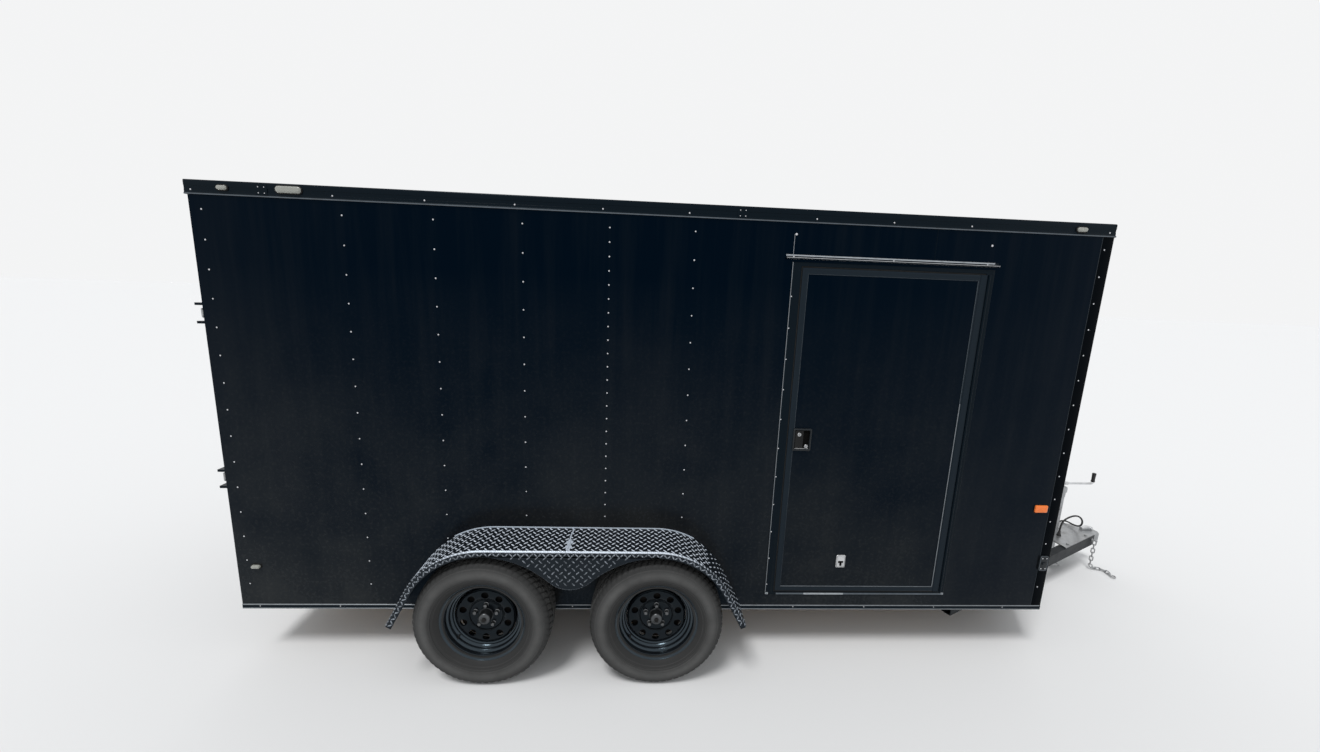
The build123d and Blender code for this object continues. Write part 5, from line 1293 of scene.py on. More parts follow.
def tyre_shape(centre, sign, pitches):
    """Tyre as rings of (distance out, radius) round the axle: bulged sidewalls with
    raised bands, and a tread whose grooves and cross cuts lower the radius."""
    side_y, side_r = np.array([
        (68.5, 191), (68.5, 199), (69.5, 207), (76, 214), (82, 222), (86.5, 231), (87.8, 233), (90.0, 233.6),
        (91.0, 236), (93.6, 243), (94.2, 244), (96.0, 244.6), (97.2, 245.8), (96.6, 247), (98.2, 254),
        (98.8, 255), (100.8, 255.6), (101.4, 257), (101.9, 266), (102.4, 274),
        (101.6, 284), (99.0, 296), (96.6, 304), (96.4, 307), (93.4, 308.5), (92.6, 312), (90.2, 320),
        (88.0, 324.5), (84.0, 329), (78.5, 333.2),
    ]).T
    tread_y = np.array([70.0, 64, 57, 51.5, 50.5, 43.5, 42.5, 33, 24, 19.5, 18.5, 11.5, 10.5, 5, 0])
    depth = np.array([0, 0, 0, 0, 8.0, 8.0, 0, 0, 0, 0, 8.0, 8.0, 0, 0, 0.0])
    crown = TYRE_RADIUS - 0.00095 * tread_y**2 - depth
    none = np.zeros(len(side_y))
    rows_y = np.concatenate([-side_y, -tread_y, tread_y[-2::-1], side_y[::-1]])
    rows_r = np.concatenate([side_r, mirrored(crown), side_r[::-1]])
    tread = np.concatenate([none, mirrored(np.ones(len(tread_y))), none])
    grooved = np.concatenate([none, mirrored(depth), none])
    cols = np.arange(pitches * 6)[:, None]
    outer = np.abs(rows_y) > 15
    phase = (cols / 6.0 + np.sign(rows_y) * 0.5 * outer + rows_y / 55.0) % 1.0
    shoulder = (rows_r > 318) & (tread == 0)
    cut = (phase < 0.2) * 5.0 * tread * outer * (grooved == 0) + shoulder * (phase < 0.3) * 3.0
    points = wheel_points(centre, sign, rows_y, rows_r - cut, cols * 2 * np.pi / len(cols))
    # Wear: painted shade next to the rim and in the grooves and cuts, a painted lit band across the middle of the
    # sidewall, dust on the crown, lighter on the raised bands
    wear = 0.06 + 0.72 * np.exp(-(((rows_r - 280) / 25.0) ** 2)) + 0.5 * (rows_r > 318) * tread
    wear = wear - 0.5 * ((cut > 0) | (grooved > 0))
    band = np.isin(np.round(rows_r, 1), [233.0, 233.6, 245.8, 255.0, 255.6, 307.0, 308.5])
    return endless(points), np.clip(wear + 0.22 * band, 0.02, 1.0).ravel()


def disc_shape(centre, sign):
    """Wheel disc with ten round holes.  Ten equal cells round the axle: in each, a ring
    of points goes from the hole's edge out to the cell's border."""
    inner, outer, middle, hole = 84.0, 147.0, 116.0, 17.5
    cells, per_side = 10, 8
    t = np.linspace(-1, 1, per_side, endpoint=False)
    one = np.ones(per_side)
    edge_a = np.concatenate([t, one, -t, -one])
    edge_b = np.concatenate([-one, t, one, -t])
    facing = np.arctan2(edge_b, edge_a)
    share = np.array([0.0, 0.0, 0.03, 0.12, 0.3, 0.6, 1.0])[:, None]
    sunk = np.array([9.0, 2.6, 0.6, 0.0, 0.0, 0.0, 0.0])[:, None]
    border_r = middle + edge_b * np.where(edge_b >= 0, outer - middle, middle - inner)
    hole_r = middle + hole * np.sin(facing)
    hole_t = hole * np.cos(facing) / middle
    radius = hole_r + share * (border_r - hole_r)
    turn = hole_t + share * (edge_a * np.pi / cells - hole_t)
    turn = full_turn(cells)[:, None, None] + turn
    rise = disc_rise(radius) - sunk
    faces = (rise, rise - 5.0 * (sunk < 8))
    return [grid(p, close_v=True) for face in faces for p in wheel_points(centre, sign, face, radius, turn)]


def disc_rise(radius):
    """How far out the disc's face is at each radius: flat seat, slope, crown, fall."""
    marks = [0, 74, 78, 84, 94, 102, 108, 128, 140, 147, 150, 151, 151.5]
    heights = [7, 7, 8, 10, 18, 21.5, 22.5, 23, 22, 20.5, 18.5, 15, 6]
    return np.interp(radius, marks, heights)


def make_wheels(sizes):
    """Tyres, rims with ten holes, nuts, hub caps and valves."""
    barrel = [
        (-73.5, 208), (-73.5, 204), (-68, 196), (-64, 187), (-40, 181), (-30, 166), (4, 166), (6, 154),
        (13, 154), (15, 156), (17, 160), (24, 163), (27, 166), (28.5, 172), (36, 174.5), (40, 177), (41.5, 183),
        (44, 186), (58, 188.5), (61, 190), (63, 194.5), (66.5, 198), (69, 200), (71, 204.5), (73.5, 206.5),
        (73.5, 209.5), (71.5, 211), (69, 209), (66, 204), (62, 196), (40, 190), (30, 181), (22, 172), (-28, 171),
        (-40, 187), (-64, 191), (-69, 205), (-69, 208),
    ]
    cap = [
        (4, 36), (9, 36), (10, 35), (10, 33), (22, 32), (36, 31.5), (43, 30.5), (47.5, 27), (50, 21), (50.5, 17),
        (48.5, 16), (48.5, 4),
    ]
    plug = [(48, 11), (52, 11), (53.5, 9), (54, 4)]
    stem = [(-16, 5), (-10, 5.4), (4, 4.2), (6, 3.4), (22, 3.4), (23, 2.4)]
    drum = [(-74, 60), (-74, 140), (-68, 143), (-60, 140), (-14, 140), (-8, 134), (-4, 100), (-2, 44), (-40, 30)]
    nut = lathe([(0, 10.6), (15, 10.6), (17.6, 8.6), (18.4, 5)], turns=6)
    seat = lathe([(-1, 13), (1.0, 13), (3, 10.8)], turns=24)
    for name, (low, high) in WHEELS.items():
        body = "wheel_" + name
        sign = SIGNS[name.split("_")[1]]
        centre = (low + high) / 2
        out = np.array([0.0, sign, 0.0])
        shape, wear = tyre_shape(centre, sign, sizes.tread_blocks)
        piece("tyre_rubber_" + name, [shape], "rubber", body, ["tyre_" + name], wear, sharp=32.0)
        shell = ring_lathe(barrel, centre, out, 96)
        piece("rim_barrel_" + name, [shell], "rim", body, ["rim_" + name], sharp=32.0)
        parts = disc_shape(centre, sign)
        for near, far in ((36.0, 84.0), (147.0, 151.6)):
            radius = np.linspace(near, far, 10)[:, None]
            top, under = (
                wheel_points(centre, sign, disc_rise(radius) - down, radius, full_turn(80)) for down in (0, 5)
            )
            parts.append(endless(np.concatenate([top, under[::-1]])))
        # The disc takes the darker copy of the rim paint: painted shade
        piece("rim_disc_" + name, parts, "disc", body, sharp=32.0)
        places = wheel_points(centre, sign, 7.0, 57.15, full_turn(5))
        nuts = copies(join(nut, seat), places, np.cross(out, UP), UP, out)
        piece("lug_nuts_" + name, [nuts], "nut", body, sharp=25.0)
        piece("hub_cap_" + name, [lathe(cap, centre, out, 48)], "cap", body)
        piece("hub_plug_" + name, [lathe(plug, centre, out, 32)], "seal", body)
        valve_at = wheel_points(centre, sign, 30.0, 167.0, np.pi + 0.9)
        piece("valve_" + name, [lathe(stem, valve_at, out, 14)], "seal", body)
        # Near-black drum behind the holes: painted shade
        piece("brake_drum_" + name, [lathe(drum, centre, out, 64)], "cast", body)


# Pieces: hitch


def link_shape(wire, length, width):
    """One chain link: a round wire carried round a long ring in its own plane."""
    t = (np.arange(20) + 0.5) * 2 * np.pi / 20
    radius = width / 2 - wire / 2
    a = np.sign(np.cos(t)) * (length / 2 - width / 2) + radius * np.cos(t)
    b = radius * np.sin(t)
    path = np.stack([a, b, np.zeros_like(a)], -1)
    return tube(path, wire / 2, 8, closed=True)


def chain_joints():
    """Joints of the right-hand chain, a link apart, as the CAD chain hangs and lies."""
    nose = mm_box("coupler")[1][0]
    apex = nose - 4.9
    rail = np.radians(25.0)
    bolt_s = nose - 132.0
    bolt_y = -((apex - bolt_s) * np.tan(rail) + 25.5 / np.cos(rail))
    hang_s = bolt_s + 18.0 * np.sin(rail)
    hang_y = bolt_y - 18.0 * np.cos(rail)
    bend, sweep, bed, level = 40.0, 46.0, 13.0, 8.0
    top = FOOT - 30.0
    drop = top - bed - bend
    along = np.arange(12) * 32.4
    turn = np.clip(along - drop, 0, bend * np.pi / 2) / bend
    rest = np.clip(along - drop - bend * np.pi / 2, 0, None)
    straight = np.minimum(rest, level)
    curl = np.maximum(rest - level, 0.0) / sweep
    s = hang_s + bend * (1 - np.cos(turn)) + straight + sweep * np.sin(curl)
    y = hang_y - sweep * (1 - np.cos(curl))
    z = np.where(along < drop, top - along, bed + bend * (1 - np.sin(turn)))
    return np.stack([s, y, z], -1), np.array([bolt_s, bolt_y, top])


def make_chains(sizes):
    """Two safety chains of round wire links, with hooks and their anchor bolts."""
    joints, root = chain_joints()
    axis = unit(np.diff(joints, axis=0))
    steep = np.abs(axis[:, 2]) > np.abs(axis[:, 0]) + np.abs(axis[:, 1])
    sideways = np.where(steep[:, None], (0.0, 1.0, 0.0), UP)
    flat = unit(np.cross(axis, sideways))
    normal = unit(flat - np.cross(axis, flat) * alternate(len(axis))[:, None])
    middle = (joints[1:] + joints[:-1]) / 2
    links = copies(link_shape(7.0, 46.4, 26.0), middle, axis, np.cross(normal, axis), normal)
    heading = axis[-1]
    aside = np.cross(UP, heading)
    eye = joints[-1] + heading * 4.0
    bend = 13.0
    turn = np.linspace(-0.5, 0.95, 30) * np.pi
    shank = np.linspace(0, 1, 6)[:-1, None] * (30.0 * heading - bend * aside)
    hook_path = eye + np.concatenate([shank, 34.0 * heading + bend * swing(turn, heading, aside)])
    hook = tube(hook_path, 4.3, 10)
    ring_path = joints[-1] + 2.0 * heading + 8.0 * swing(full_turn(20), heading, aside)
    ring = tube(ring_path, 4.0, 8, closed=True)
    hang = joints[0] - root
    bolt = lathe([(0, 12), (3, 12), (3.4, 5), (24, 5), (24.4, 9.5), (30, 9.5), (31, 8)], root, hang, 18)
    shapes = [links, hook, ring, bolt]
    other = [(verts * (1.0, -1.0, 1.0), faces) for verts, faces in shapes]
    piece("chain_pair", shapes + other, "galvanised", stands_for=["safety_chains"])


def make_hitch(sizes):
    """Coupler details, latch lever, jack, crank and the bolts that hold them."""
    nose = mm_box("coupler")[1][0]
    ball = nose - 34.9
    top = FOOT + 8.0
    dome_turn = np.linspace(0, np.pi / 2, 8)
    dome = [(-10.0, 34.85), *zip(14.0 * np.sin(dome_turn), 34.5 * np.cos(dome_turn) + 0.3)]
    piece("coupler_dome", [lathe(dome, (ball, 0, 257.0), turns=48)], "zinc")
    lever_s = np.linspace(ball - 108, ball - 18, 16)
    share = (lever_s - lever_s[0]) / (lever_s[-1] - lever_s[0])
    width = 12.5 - 4.5 * share
    rise = top + 8 + 24 * np.sin(np.pi * np.clip(share * 0.62 + 0.18, 0, 1))
    a, b = outline(2.0, 2.0, 0.5, 0.0, 16)
    rings = np.stack([
        np.broadcast_to(lever_s[:, None], (16, 16)),
        width[:, None] * a,
        (rise + top)[:, None] / 2 + b * ((rise - top)[:, None] / 2),
    ], -1)
    pin = lathe([(-19, 4.5), (-18, 5.5), (18, 5.5), (19, 4.5)], (ball - 36, 0, top + 14), (0, 1, 0), 20)
    piece("coupler_lever", [capped(rings), pin], "bright", stands_for=["coupler_latch"])
    jack_low, jack_high = mm_box("jack_tube")
    js = (jack_low[0] + jack_high[0]) / 2
    jack = np.array([js, 0.0, 0.0])
    tube_low, tube_high = jack_low[2], jack_high[2]
    gear = tube_high - 42.0
    tube_line = [
        (tube_low, 25.6), (tube_low, 28.5), (gear - 40, 28.5), (gear - 38, 31), (gear - 6, 31), (gear, 33),
        (gear + 2, 37), (gear + 30, 37), (gear + 38, 34), (gear + 42, 26), (gear + 42, 2), (gear + 30, 2),
        (gear + 20, 25.6),
    ]
    body = ring_lathe(tube_line, jack, UP, 56)
    ahead, across = np.eye(3)[:2]
    loop = full_turn(72)
    lobes = (47.0 + 11.0 * np.cos(1.5 * loop) ** 8)[:, None] * swing(loop, ahead, across)
    plates = [jack + lobes * size + z * UP for size, z in ((1, top), (1, top + 7.2), (0.985, top + 8.0))]
    piece("jack_body", [body, capped(np.stack(plates))], "zinc", stands_for=["jack_tube"])
    bolt_at = jack + 46 * swing(full_turn(3), ahead, across) + (top + 8.0) * UP
    head = lathe([(0, 11), (1.4, 11), (1.6, 8.4), (7, 8.4), (8, 7.0)], turns=6)
    piece("jack_bolts", [copies(head, bolt_at)], "zinc", sharp=25.0)
    crank_high = mm_box("jack_crank")[1]
    arm_z = tube_high + 22.0
    grip_s = crank_high[0] - 13.0
    quarter = np.linspace(0, np.pi / 2, 8)
    r = 15.0
    path = np.concatenate([
        [[js, 0, tube_high - 4]],
        np.stack([js + r - r * np.cos(quarter), 0 * quarter, arm_z - r + r * np.sin(quarter)], -1),
        np.stack([np.linspace(js + 2 * r, grip_s - 2 * r, 6), np.zeros(6), np.full(6, arm_z)], -1),
        np.stack([grip_s - r + r * np.sin(quarter), 0 * quarter, arm_z + r - r * np.cos(quarter)], -1),
        [[grip_s, 0, crank_high[2] - 6]],
    ])
    crank = tube(path, 8.0, 16, up=(0.0, 1.0, 0.0))
    eye = lathe([(14, 10), (17, 13), (42, 12.6), (50, 9), (51, 7)], (js, 0, arm_z), (1, 0, 0), 28)
    hub = lathe([(0, 13), (3, 16.5), (20, 17.5), (38, 17), (48, 13.5), (52, 6)], (js, 0, tube_high), turns=32)
    piece("crank_rod", [crank, eye, hub], "bright", stands_for=["jack_crank"])
    grip_z = arm_z + 14.0
    long = crank_high[2] - grip_z
    grip = [
        (0, 9), (0.5, 12), (8, 12.6), (12, 11.4), (24, 11.0), (40, 11.4), (long - 8, 12.8), (long - 2, 12.2),
        (long, 8),
    ]
    piece("crank_grip", [lathe(grip, (grip_s, 0, grip_z), turns=32)], "plastic")
    leg_top = mm_box("jack_leg")[1][2]
    stem = lathe([(5, 24), (leg_top - 1, 24), (leg_top, 23)], jack, turns=48)
    pad = [
        (0, 5.6), (0, 6), (6, 2.4), (9, 0.0), (50, 0.0), (50, 5.4), (34, 5.4), (26, 5.4), (11, 5.0), (7, 7.4),
        (2, 8.2),
    ]
    foot = []
    for inset, z in pad:
        a, b = outline(120, 120, 14.0, inset)
        foot.append(np.stack([js + a, b, np.full_like(a, z)], -1))
    piece("jack_foot", [endless(np.stack(foot)), stem], "zinc", "jack_leg", stands_for=["jack_leg"])
    bolts = [(nose - back, y * wide, top) for back, wide in ((200.0, 96.0), (470.0, 222.0)) for y in (-1, 1)]
    piece("coupler_bolts", [copies(head, bolts)], "zinc", sharp=25.0)


# Route of the trailer cord: behind the coupler's nose, left of the middle, height
CORD_ROUTE = [
    (0.417, -0.095, 0.320), (0.417, -0.095, 0.383), (0.372, -0.098, 0.431), (0.304, -0.097, 0.447),
    (0.247, -0.087, 0.414), (0.211, -0.065, 0.360), (0.187, -0.024, 0.318), (0.174, 0.036, 0.301),
    (0.168, 0.100, 0.301), (0.164, 0.156, 0.272), (0.161, 0.188, 0.214), (0.159, 0.200, 0.148),
    (0.153, 0.211, 0.084), (0.132, 0.234, 0.030), (0.108, 0.284, 0.0072), (0.122, 0.344, 0.0072),
    (0.172, 0.384, 0.0102), (0.236, 0.396, 0.0172), (0.298, 0.398, 0.0222),
]
CORD_DIAMETER = 0.012


def make_cord(sizes):
    """Trailer cord, its gland on the coupler's plate and the plug on its end."""
    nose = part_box("coupler")[1].x
    points = [(nose - back, y, z) for back, y, z in CORD_ROUTE]
    curve = bpy.data.curves.new("cord_jacket", "CURVE")
    curve.dimensions = "3D"
    spline = curve.splines.new("NURBS")
    spline.points.add(len(points) - 1)
    for point, place in zip(spline.points, points):
        point.co = (*place, 1.0)
    spline.order_u = 3
    spline.use_endpoint_u = True
    curve.resolution_u = 12
    curve.bevel_depth = CORD_DIAMETER / 2
    curve.bevel_resolution = 4
    curve.use_fill_caps = True
    curve.materials.append(FINISHES["cord"])
    cord = new_object("cord_jacket", curve)
    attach(cord, "trailer")
    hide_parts("trailer_cord")
    low, high = mm_box("cord_gland")
    centre = ((low[0] + high[0]) / 2, (low[1] + high[1]) / 2, low[2])
    rings = [
        (0, 15), (3, 15), (3.4, 13.4), (12, 12.6), (13, 10.8), (17, 10.4), (18, 9.6), (22, 9.8), (23, 8.8),
        (27, 9.0), (28, 8.2), (32, 8.4), (33, 7.6), (38, 7.4), (40, 6.2),
    ]
    gland = piece("cord_relief", [lathe(rings, centre, turns=32)], "plastic",
                  stands_for=["cord_gland"])
    end = np.array(points[-1]) * 1000.0 - (ZERO, 0, 0)
    heading = unit(np.array(points[-1]) - np.array(points[-2]))
    boot = [
        (-16, 6.6), (-12, 7.6), (-8, 7.2), (-6, 8.6), (-2, 8.4), (0, 10.0), (5, 9.8), (7, 11.6), (13, 11.6),
        (16, 15), (26, 17.2), (27, 19.6), (40, 20.6), (60, 20.6), (61, 19.0), (66, 19.0), (67, 20.8), (112, 20.8),
        (114, 19.6), (114, 17.6), (92, 17.4),
    ]
    plug = [lathe(boot, end, heading, 40)]
    aside = unit(np.cross(heading, UP))
    above = np.cross(aside, heading)
    turn = np.arange(4) * np.pi / 2 + np.pi / 4
    pins = end + heading * 90.0 + 10.5 * swing(turn, aside, above)
    pin = lathe([(0, 2.4), (18, 2.4), (20, 1.4)], turns=10)
    rib = box((34, -2.5, 18), (58, 2.5, 21.4), 0.8)
    angles = full_turn(6)
    ribs = copies(rib, np.tile(end, (6, 1)), heading, swing(angles, aside, -above), swing(angles, above, aside))
    body = piece("cord_plug_body", plug + [ribs], "plastic", stands_for=["cord_plug"])
    contacts = piece("cord_plug_pins", [copies(pin, pins, aside, above, heading)], "bright")


# Pieces: rear


def make_rear(sizes):
    """Ramp door skin and rim, bar locks, post faces, plate holder rim and screws."""
    high = mm_box("ramp_door")[1]
    side, z1 = high[1], high[2]
    z0 = mm_box("rear_sill")[1][2] - 8.0
    body = "ramp_door"
    bow = bowed(sizes.bow * 1000.0, np.linspace(-side, side, 6), 0.9)
    skin = sheet(REAR, lines_over(-side + 20, side - 20), lines_over(z0 + 62, z1 - 20), bow)
    piece("ramp_skin", [skin], "skin", body)
    rim = [(0.0, 0.2), (0.0, 2.6), (0.06, 3.4), (0.4, 3.4), (0.5, 2.8), (0.9, 2.8), (1.0, 2.2), (1.0, 0.2)]
    outer = (-side, side, z0 + 44, z1)
    inner = (-side + 34, side - 34, z0 + 78, z1 - 34)
    piece("ramp_rim", [frame_ring(REAR, outer, inner, rim)], "trim", body)
    line = [(0.0, 3.0), (0.4, 3.9), (1.0, 3.0)]
    rim_line = frame_ring(REAR, pulled_in(inner, -3), pulled_in(inner, -0.6), line)
    piece("ramp_rim_edge", [rim_line], "edge", body)
    heights = np.arange(z0 + 130, z1 - 40, 150.0)
    across = np.arange(-side + 90, side - 60, 150.0)
    s = np.concatenate([np.repeat([-side + 17, side - 17], len(heights)), across])
    z = np.concatenate([heights, heights, np.full(len(across), z1 - 17)])
    screws("ramp_screws", REAR, s, z, 3.2, body)
    posts = [
        box((-2.6, y * (HALF - 62), FOOT + 102), (0.2, y * (HALF - 2), RAIL_FOOT), 0.8)
        for y in SIGNS.values()
    ]
    piece("rear_post_faces", posts, "trim")
    make_locks(side - 95.0, body)
    low, high = mm_box("plate_holder")
    d = -low[0]
    _, s, z = (low + high) / 2
    _, width, height = high - low
    rim = [(0, d - 2.6), (0, d + 0.6), (1.0, d + 1.4), (4.0, d + 1.4), (5.0, d - 0.2), (5.0, d - 2.6)]
    piece("plate_holder_rim", [hoop(REAR, s, z, width, height, 8.0, rim)], "plastic")
    legs_s = np.repeat([low[1] + 92.5, high[1] - 92.5], 2)
    screws("plate_holder_screws", REAR, legs_s, np.tile([z + 32.0, z + 52.0], 2), d - 0.2, radius=4.6)


def make_locks(pipe_y, body):
    """Two bar locks: pipe, cams into the posts, bearings, and a handle in its hasp."""
    low, high = mm_box("bar_locks")
    depth = -(low[0] + 13.5)
    tall = high[2] - low[2]
    lower, upper = 986.0, ROOF_EDGE - 585.0
    middle = (lower + upper) / 2
    locks, cams, handles, bearings = [], [], [], []
    for sign in SIGNS.values():
        y = sign * pipe_y

        def sleeve(z, half, cut, end):
            """Round sleeve on the pipe, each end cut back to a smaller radius."""
            profile = [(-half, end), (-half + cut, 13.4), (half - cut, 13.4), (half, end)]
            return lathe(profile, (-depth, y, z), turns=28)

        def block(x0, x1, at, wide, z0, z1, edge):
            """Block about a place across the door."""
            return box((x0, at - wide, z0), (x1, at + wide, z1), edge)

        pipe = [(0, 9), (2, 11.5), (tall - 2, 11.5), (tall, 9)]
        locks.append(lathe(pipe, (-depth, y, low[2]), turns=32))
        for z, inward in ((lower, 75.0), (upper, -75.0)):
            cams.append(box((-depth - 7, y, z - 23), (-depth + 7, sign * (HALF - 31.0), z + 23), 4.0))
            cams.append(sleeve(z, 26, 2, 12))
            g = z + inward
            bearings.append(sleeve(g, 15, 1, 12.4))
            bearings.append(block(-depth, -1.0, y, 32, g - 15, g + 15, 2.5))
            bearings.append(block(-5.0, -0.2, y, 46, g - 17, g + 17, 1.5))
        tip = y - sign * 330.0
        hasp = tip + sign * 40.0
        handles.append(box((-depth - 5, y, middle - 15), (-depth + 5, tip, middle + 15), 4.0))
        handles.append(sleeve(middle, 26, 2, 12))
        handles.append(block(-depth + 4, -0.4, hasp, 22, middle - 24, middle - 17, 2.0))
        handles.append(block(-depth + 4, -0.4, hasp, 22, middle + 17, middle + 24, 2.0))
        handles.append(block(-5.0, -0.3, hasp, 34, middle - 40, middle + 40, 1.6))
    piece("lock_pipes", locks, "zinc", body, stands_for=["bar_locks"])
    piece("lock_cams", cams, "zinc", body)
    piece("lock_bearings", bearings, "zinc", body)
    piece("lock_handles", handles, "zinc", body)


# Pieces: lamps


def lamp(wall, s, z, width, height, base, reach):
    """Oval lamp: rubber bezel, reflector behind, and a domed lens."""
    radius = height / 2
    rubber = [(0, base), (0, base + 2.6), (1.4, base + 4), (4.6, base + 4), (5.4, base)]
    bezel = hoop(wall, s, z, width + 8, height + 8, radius + 4, rubber)
    bowl = [(0, base), (0.4, base + 2.4), (3, base + 2.6), (radius * 0.6, base + 1.8)]
    cup = dish(wall, s, z, width, height, radius, bowl)
    t = np.linspace(0, 1, 7)
    rise = base + 4 + (reach - 4.4) * np.sin(t * np.pi / 2)
    dome = [(0.6, base + 2.0), *zip(0.6 + radius * 0.62 * t**1.6, rise)]
    return bezel, cup, dish(wall, s, z, width, height, radius, dome, 56)


def make_lamps(sizes):
    """Marker, clearance, amber and tail lamps."""
    sides = [
        (156.0, ROOF_EDGE - 23.0, 46.0, 21.0, 4.6), (442.0, ROOF_EDGE - 19.0, 113.0, 31.0, 4.6),
        (CORNER - 178.0, ROOF_EDGE - 27.0, 54.0, 23.0, 4.6), (95.0, FOOT + 243.0, 46.0, 21.0, 0.8),
    ]
    shown = [lamp(wall, *place, 16.4 - place[4]) for place in sides for wall in SIDES.values()]
    bezels, cups, clears = (list(parts) for parts in zip(*shown))
    piece("lamp_lenses", clears, "clear", stands_for=["marker_lamps"])
    low, high = mm_box("amber_markers")
    width, height = 72.0, 42.0
    s, z = low[0] - 2.0 + width / 2, (low[2] + high[2]) / 2 + 3.0
    rubber = [(0, 1.0), (0, 4), (0.8, 4.8), (2.4, 4.8), (3.0, 1.0)]
    block = [(0.4, 2), (0.4, 8), (1.4, 10.6), (4.0, 12.0), (10, 12.8)]
    rib = box((-1.3, -height / 2 + 9, -0.6), (1.3, height / 2 - 9, 0.7), 0.5)
    ambers = []
    for wall in SIDES.values():
        bezels.append(hoop(wall, s, z, width + 3, height + 3, 7, rubber))
        ambers.append(dish(wall, s, z, width, height, 6, block, 48))
        places = wall.at(s + np.linspace(-0.36, 0.36, 9) * width, 12.6, z)
        ambers.append(copies(rib, places, wall.along, UP, wall.out))
    piece("amber_lenses", ambers, "amber", stands_for=["amber_markers"])
    spots = [(y, FOOT + 41.0, 157.0, 50.0) for y in (-HALF + 150, HALF - 150)]
    spots += [(y, RAIL_FOOT - 45.0, 56.0, 17.0) for y in (-150.0, 0.0, 150.0)]
    tails = [lamp(REAR, *spot, 0.4, 9.6) for spot in spots]
    bezels += [bezel for bezel, _, _ in tails]
    cups += [cup for _, cup, _ in tails]
    piece("tail_lenses", [glass for _, _, glass in tails], "red", stands_for=["tail_lamps"])
    piece("lamp_bezels", bezels, "seal")
    piece("lamp_cups", cups, "reflector")


# Frame and inside


def paint(finish, *nodes):
    """Gives shown CAD nodes their finish."""
    for node in nodes:
        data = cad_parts[node].data
        data.materials.clear()
        data.materials.append(FINISHES[finish])


def paint_frame(sizes):
    """Finishes of the CAD nodes that stay shown."""
    paint("steel", "frame_rails", "nose_rails", "crossmembers", "tongue_rails", "axle_beams", "axle_arms")
    paint("zinc", "coupler")
    paint("ply", "floor_deck")
    paint("wall_core", "wall_left", "wall_right", "side_door")
    paint("nose_core", "nose_walls")
    paint("ramp_core", "ramp_door")
    paint("roof", "roof")
    paint("trim", "rear_posts", "rear_header", "rear_sill", "door_casing", "door_hinge")
    paint("plate", "stone_guard")
    paint("plastic", "plate_holder")


# Stage

CAMERA_PLACE = (-0.802, -3.1305, 1.957)
# Rows x, y and z of the camera's right, ahead and up
CAMERA_AXES = np.array([
    [0.99822604, 0.05229549, -0.02845987],
    [-0.04663319, 0.98393296, 0.17234057],
    [0.03701524, -0.17070767, 0.9846262],
])
SENSOR = 36.0
FOCAL_PIXELS = 449.5
PHOTO_WIDTH = 1320.0
FLOOR_REACH = 400.0
SUN_HEADING = (0.30, 0.42, -1.0)


def make_stage(stage):
    """Camera where the photograph was taken from, pale floor, soft light."""
    right, ahead, up = CAMERA_AXES.T
    place = Matrix(np.column_stack([right, up, -ahead]).tolist()).to_4x4()
    place.translation = CAMERA_PLACE
    data = bpy.data.cameras.new("camera")
    data.sensor_fit = "HORIZONTAL"
    data.sensor_width = SENSOR
    data.lens = SENSOR * FOCAL_PIXELS / PHOTO_WIDTH
    data.clip_end = 900.0
    camera = new_object("camera", data)
    camera.matrix_world = place
    bpy.context.scene.camera = camera
    bpy.context.scene.view_settings.view_transform = "Standard"
    floor_finish = Finish("pale_floor")
    floor_finish.set(Base_Color=(*stage.floor, 1.0), Roughness=0.9, IOR=1.1)
    mesh = bpy.data.meshes.new("floor")
    edge = FLOOR_REACH
    corners = [(-edge, -edge, 0), (edge, -edge, 0), (edge, edge, 0), (-edge, edge, 0)]
    mesh.from_pydata(corners, [], [(0, 1, 2, 3)])
    mesh.materials.append(floor_finish.material)
    new_object("floor", mesh)
    world = bpy.data.worlds.new("pale_sky")
    bpy.context.scene.world = world
    world.use_nodes = True
    sky = Nodes(world.node_tree)
    sky.tree.nodes.clear()
    rays = sky.add("ShaderNodeLightPath").outputs
    seen = sky.calc("MAXIMUM", rays["Is Camera Ray"], rays["Is Glossy Ray"])
    through = sky.calc("MAXIMUM", seen, rays["Is Transmission Ray"])
    light = sky.add("ShaderNodeBackground", {"Color": (0.96, 0.98, 1.0, 1.0), "Strength": stage.sky})
    shown = sky.add("ShaderNodeBackground", {"Color": (*stage.backdrop, 1.0), "Strength": 1.0})
    mixed = sky.add("ShaderNodeMixShader", {0: through, 1: light.outputs[0], 2: shown.outputs[0]})
    sky.add("ShaderNodeOutputWorld", {"Surface": mixed.outputs[0]})
    sun = bpy.data.lights.new("high_sun", "SUN")
    sun.energy = stage.sun
    sun.angle = np.radians(16.0)
    made = new_object("high_sun", sun)
    made.rotation_mode = "QUATERNION"
    made.rotation_quaternion = Vector(SUN_HEADING).to_track_quat("-Z", "Y")


# Settings, operators and panel


def colour(name, description, *default):
    """A colour that a user may change."""
    return FloatVectorProperty(name=name, description=description, subtype="COLOR", default=default)


class TrailerSizes(bpy.types.PropertyGroup):
    bow: FloatProperty(
        name="Skin bow", description="How far the side sheets bulge between studs", default=0.0009, unit="LENGTH"
    )
    tread_pitch: FloatProperty(
        name="Tread pitch", description="Distance between tread-plate marks", default=0.039, unit="LENGTH"
    )
    tread_blocks: IntProperty(
        name="Tread blocks", description="Blocks round each tyre", default=62, min=20, max=120
    )


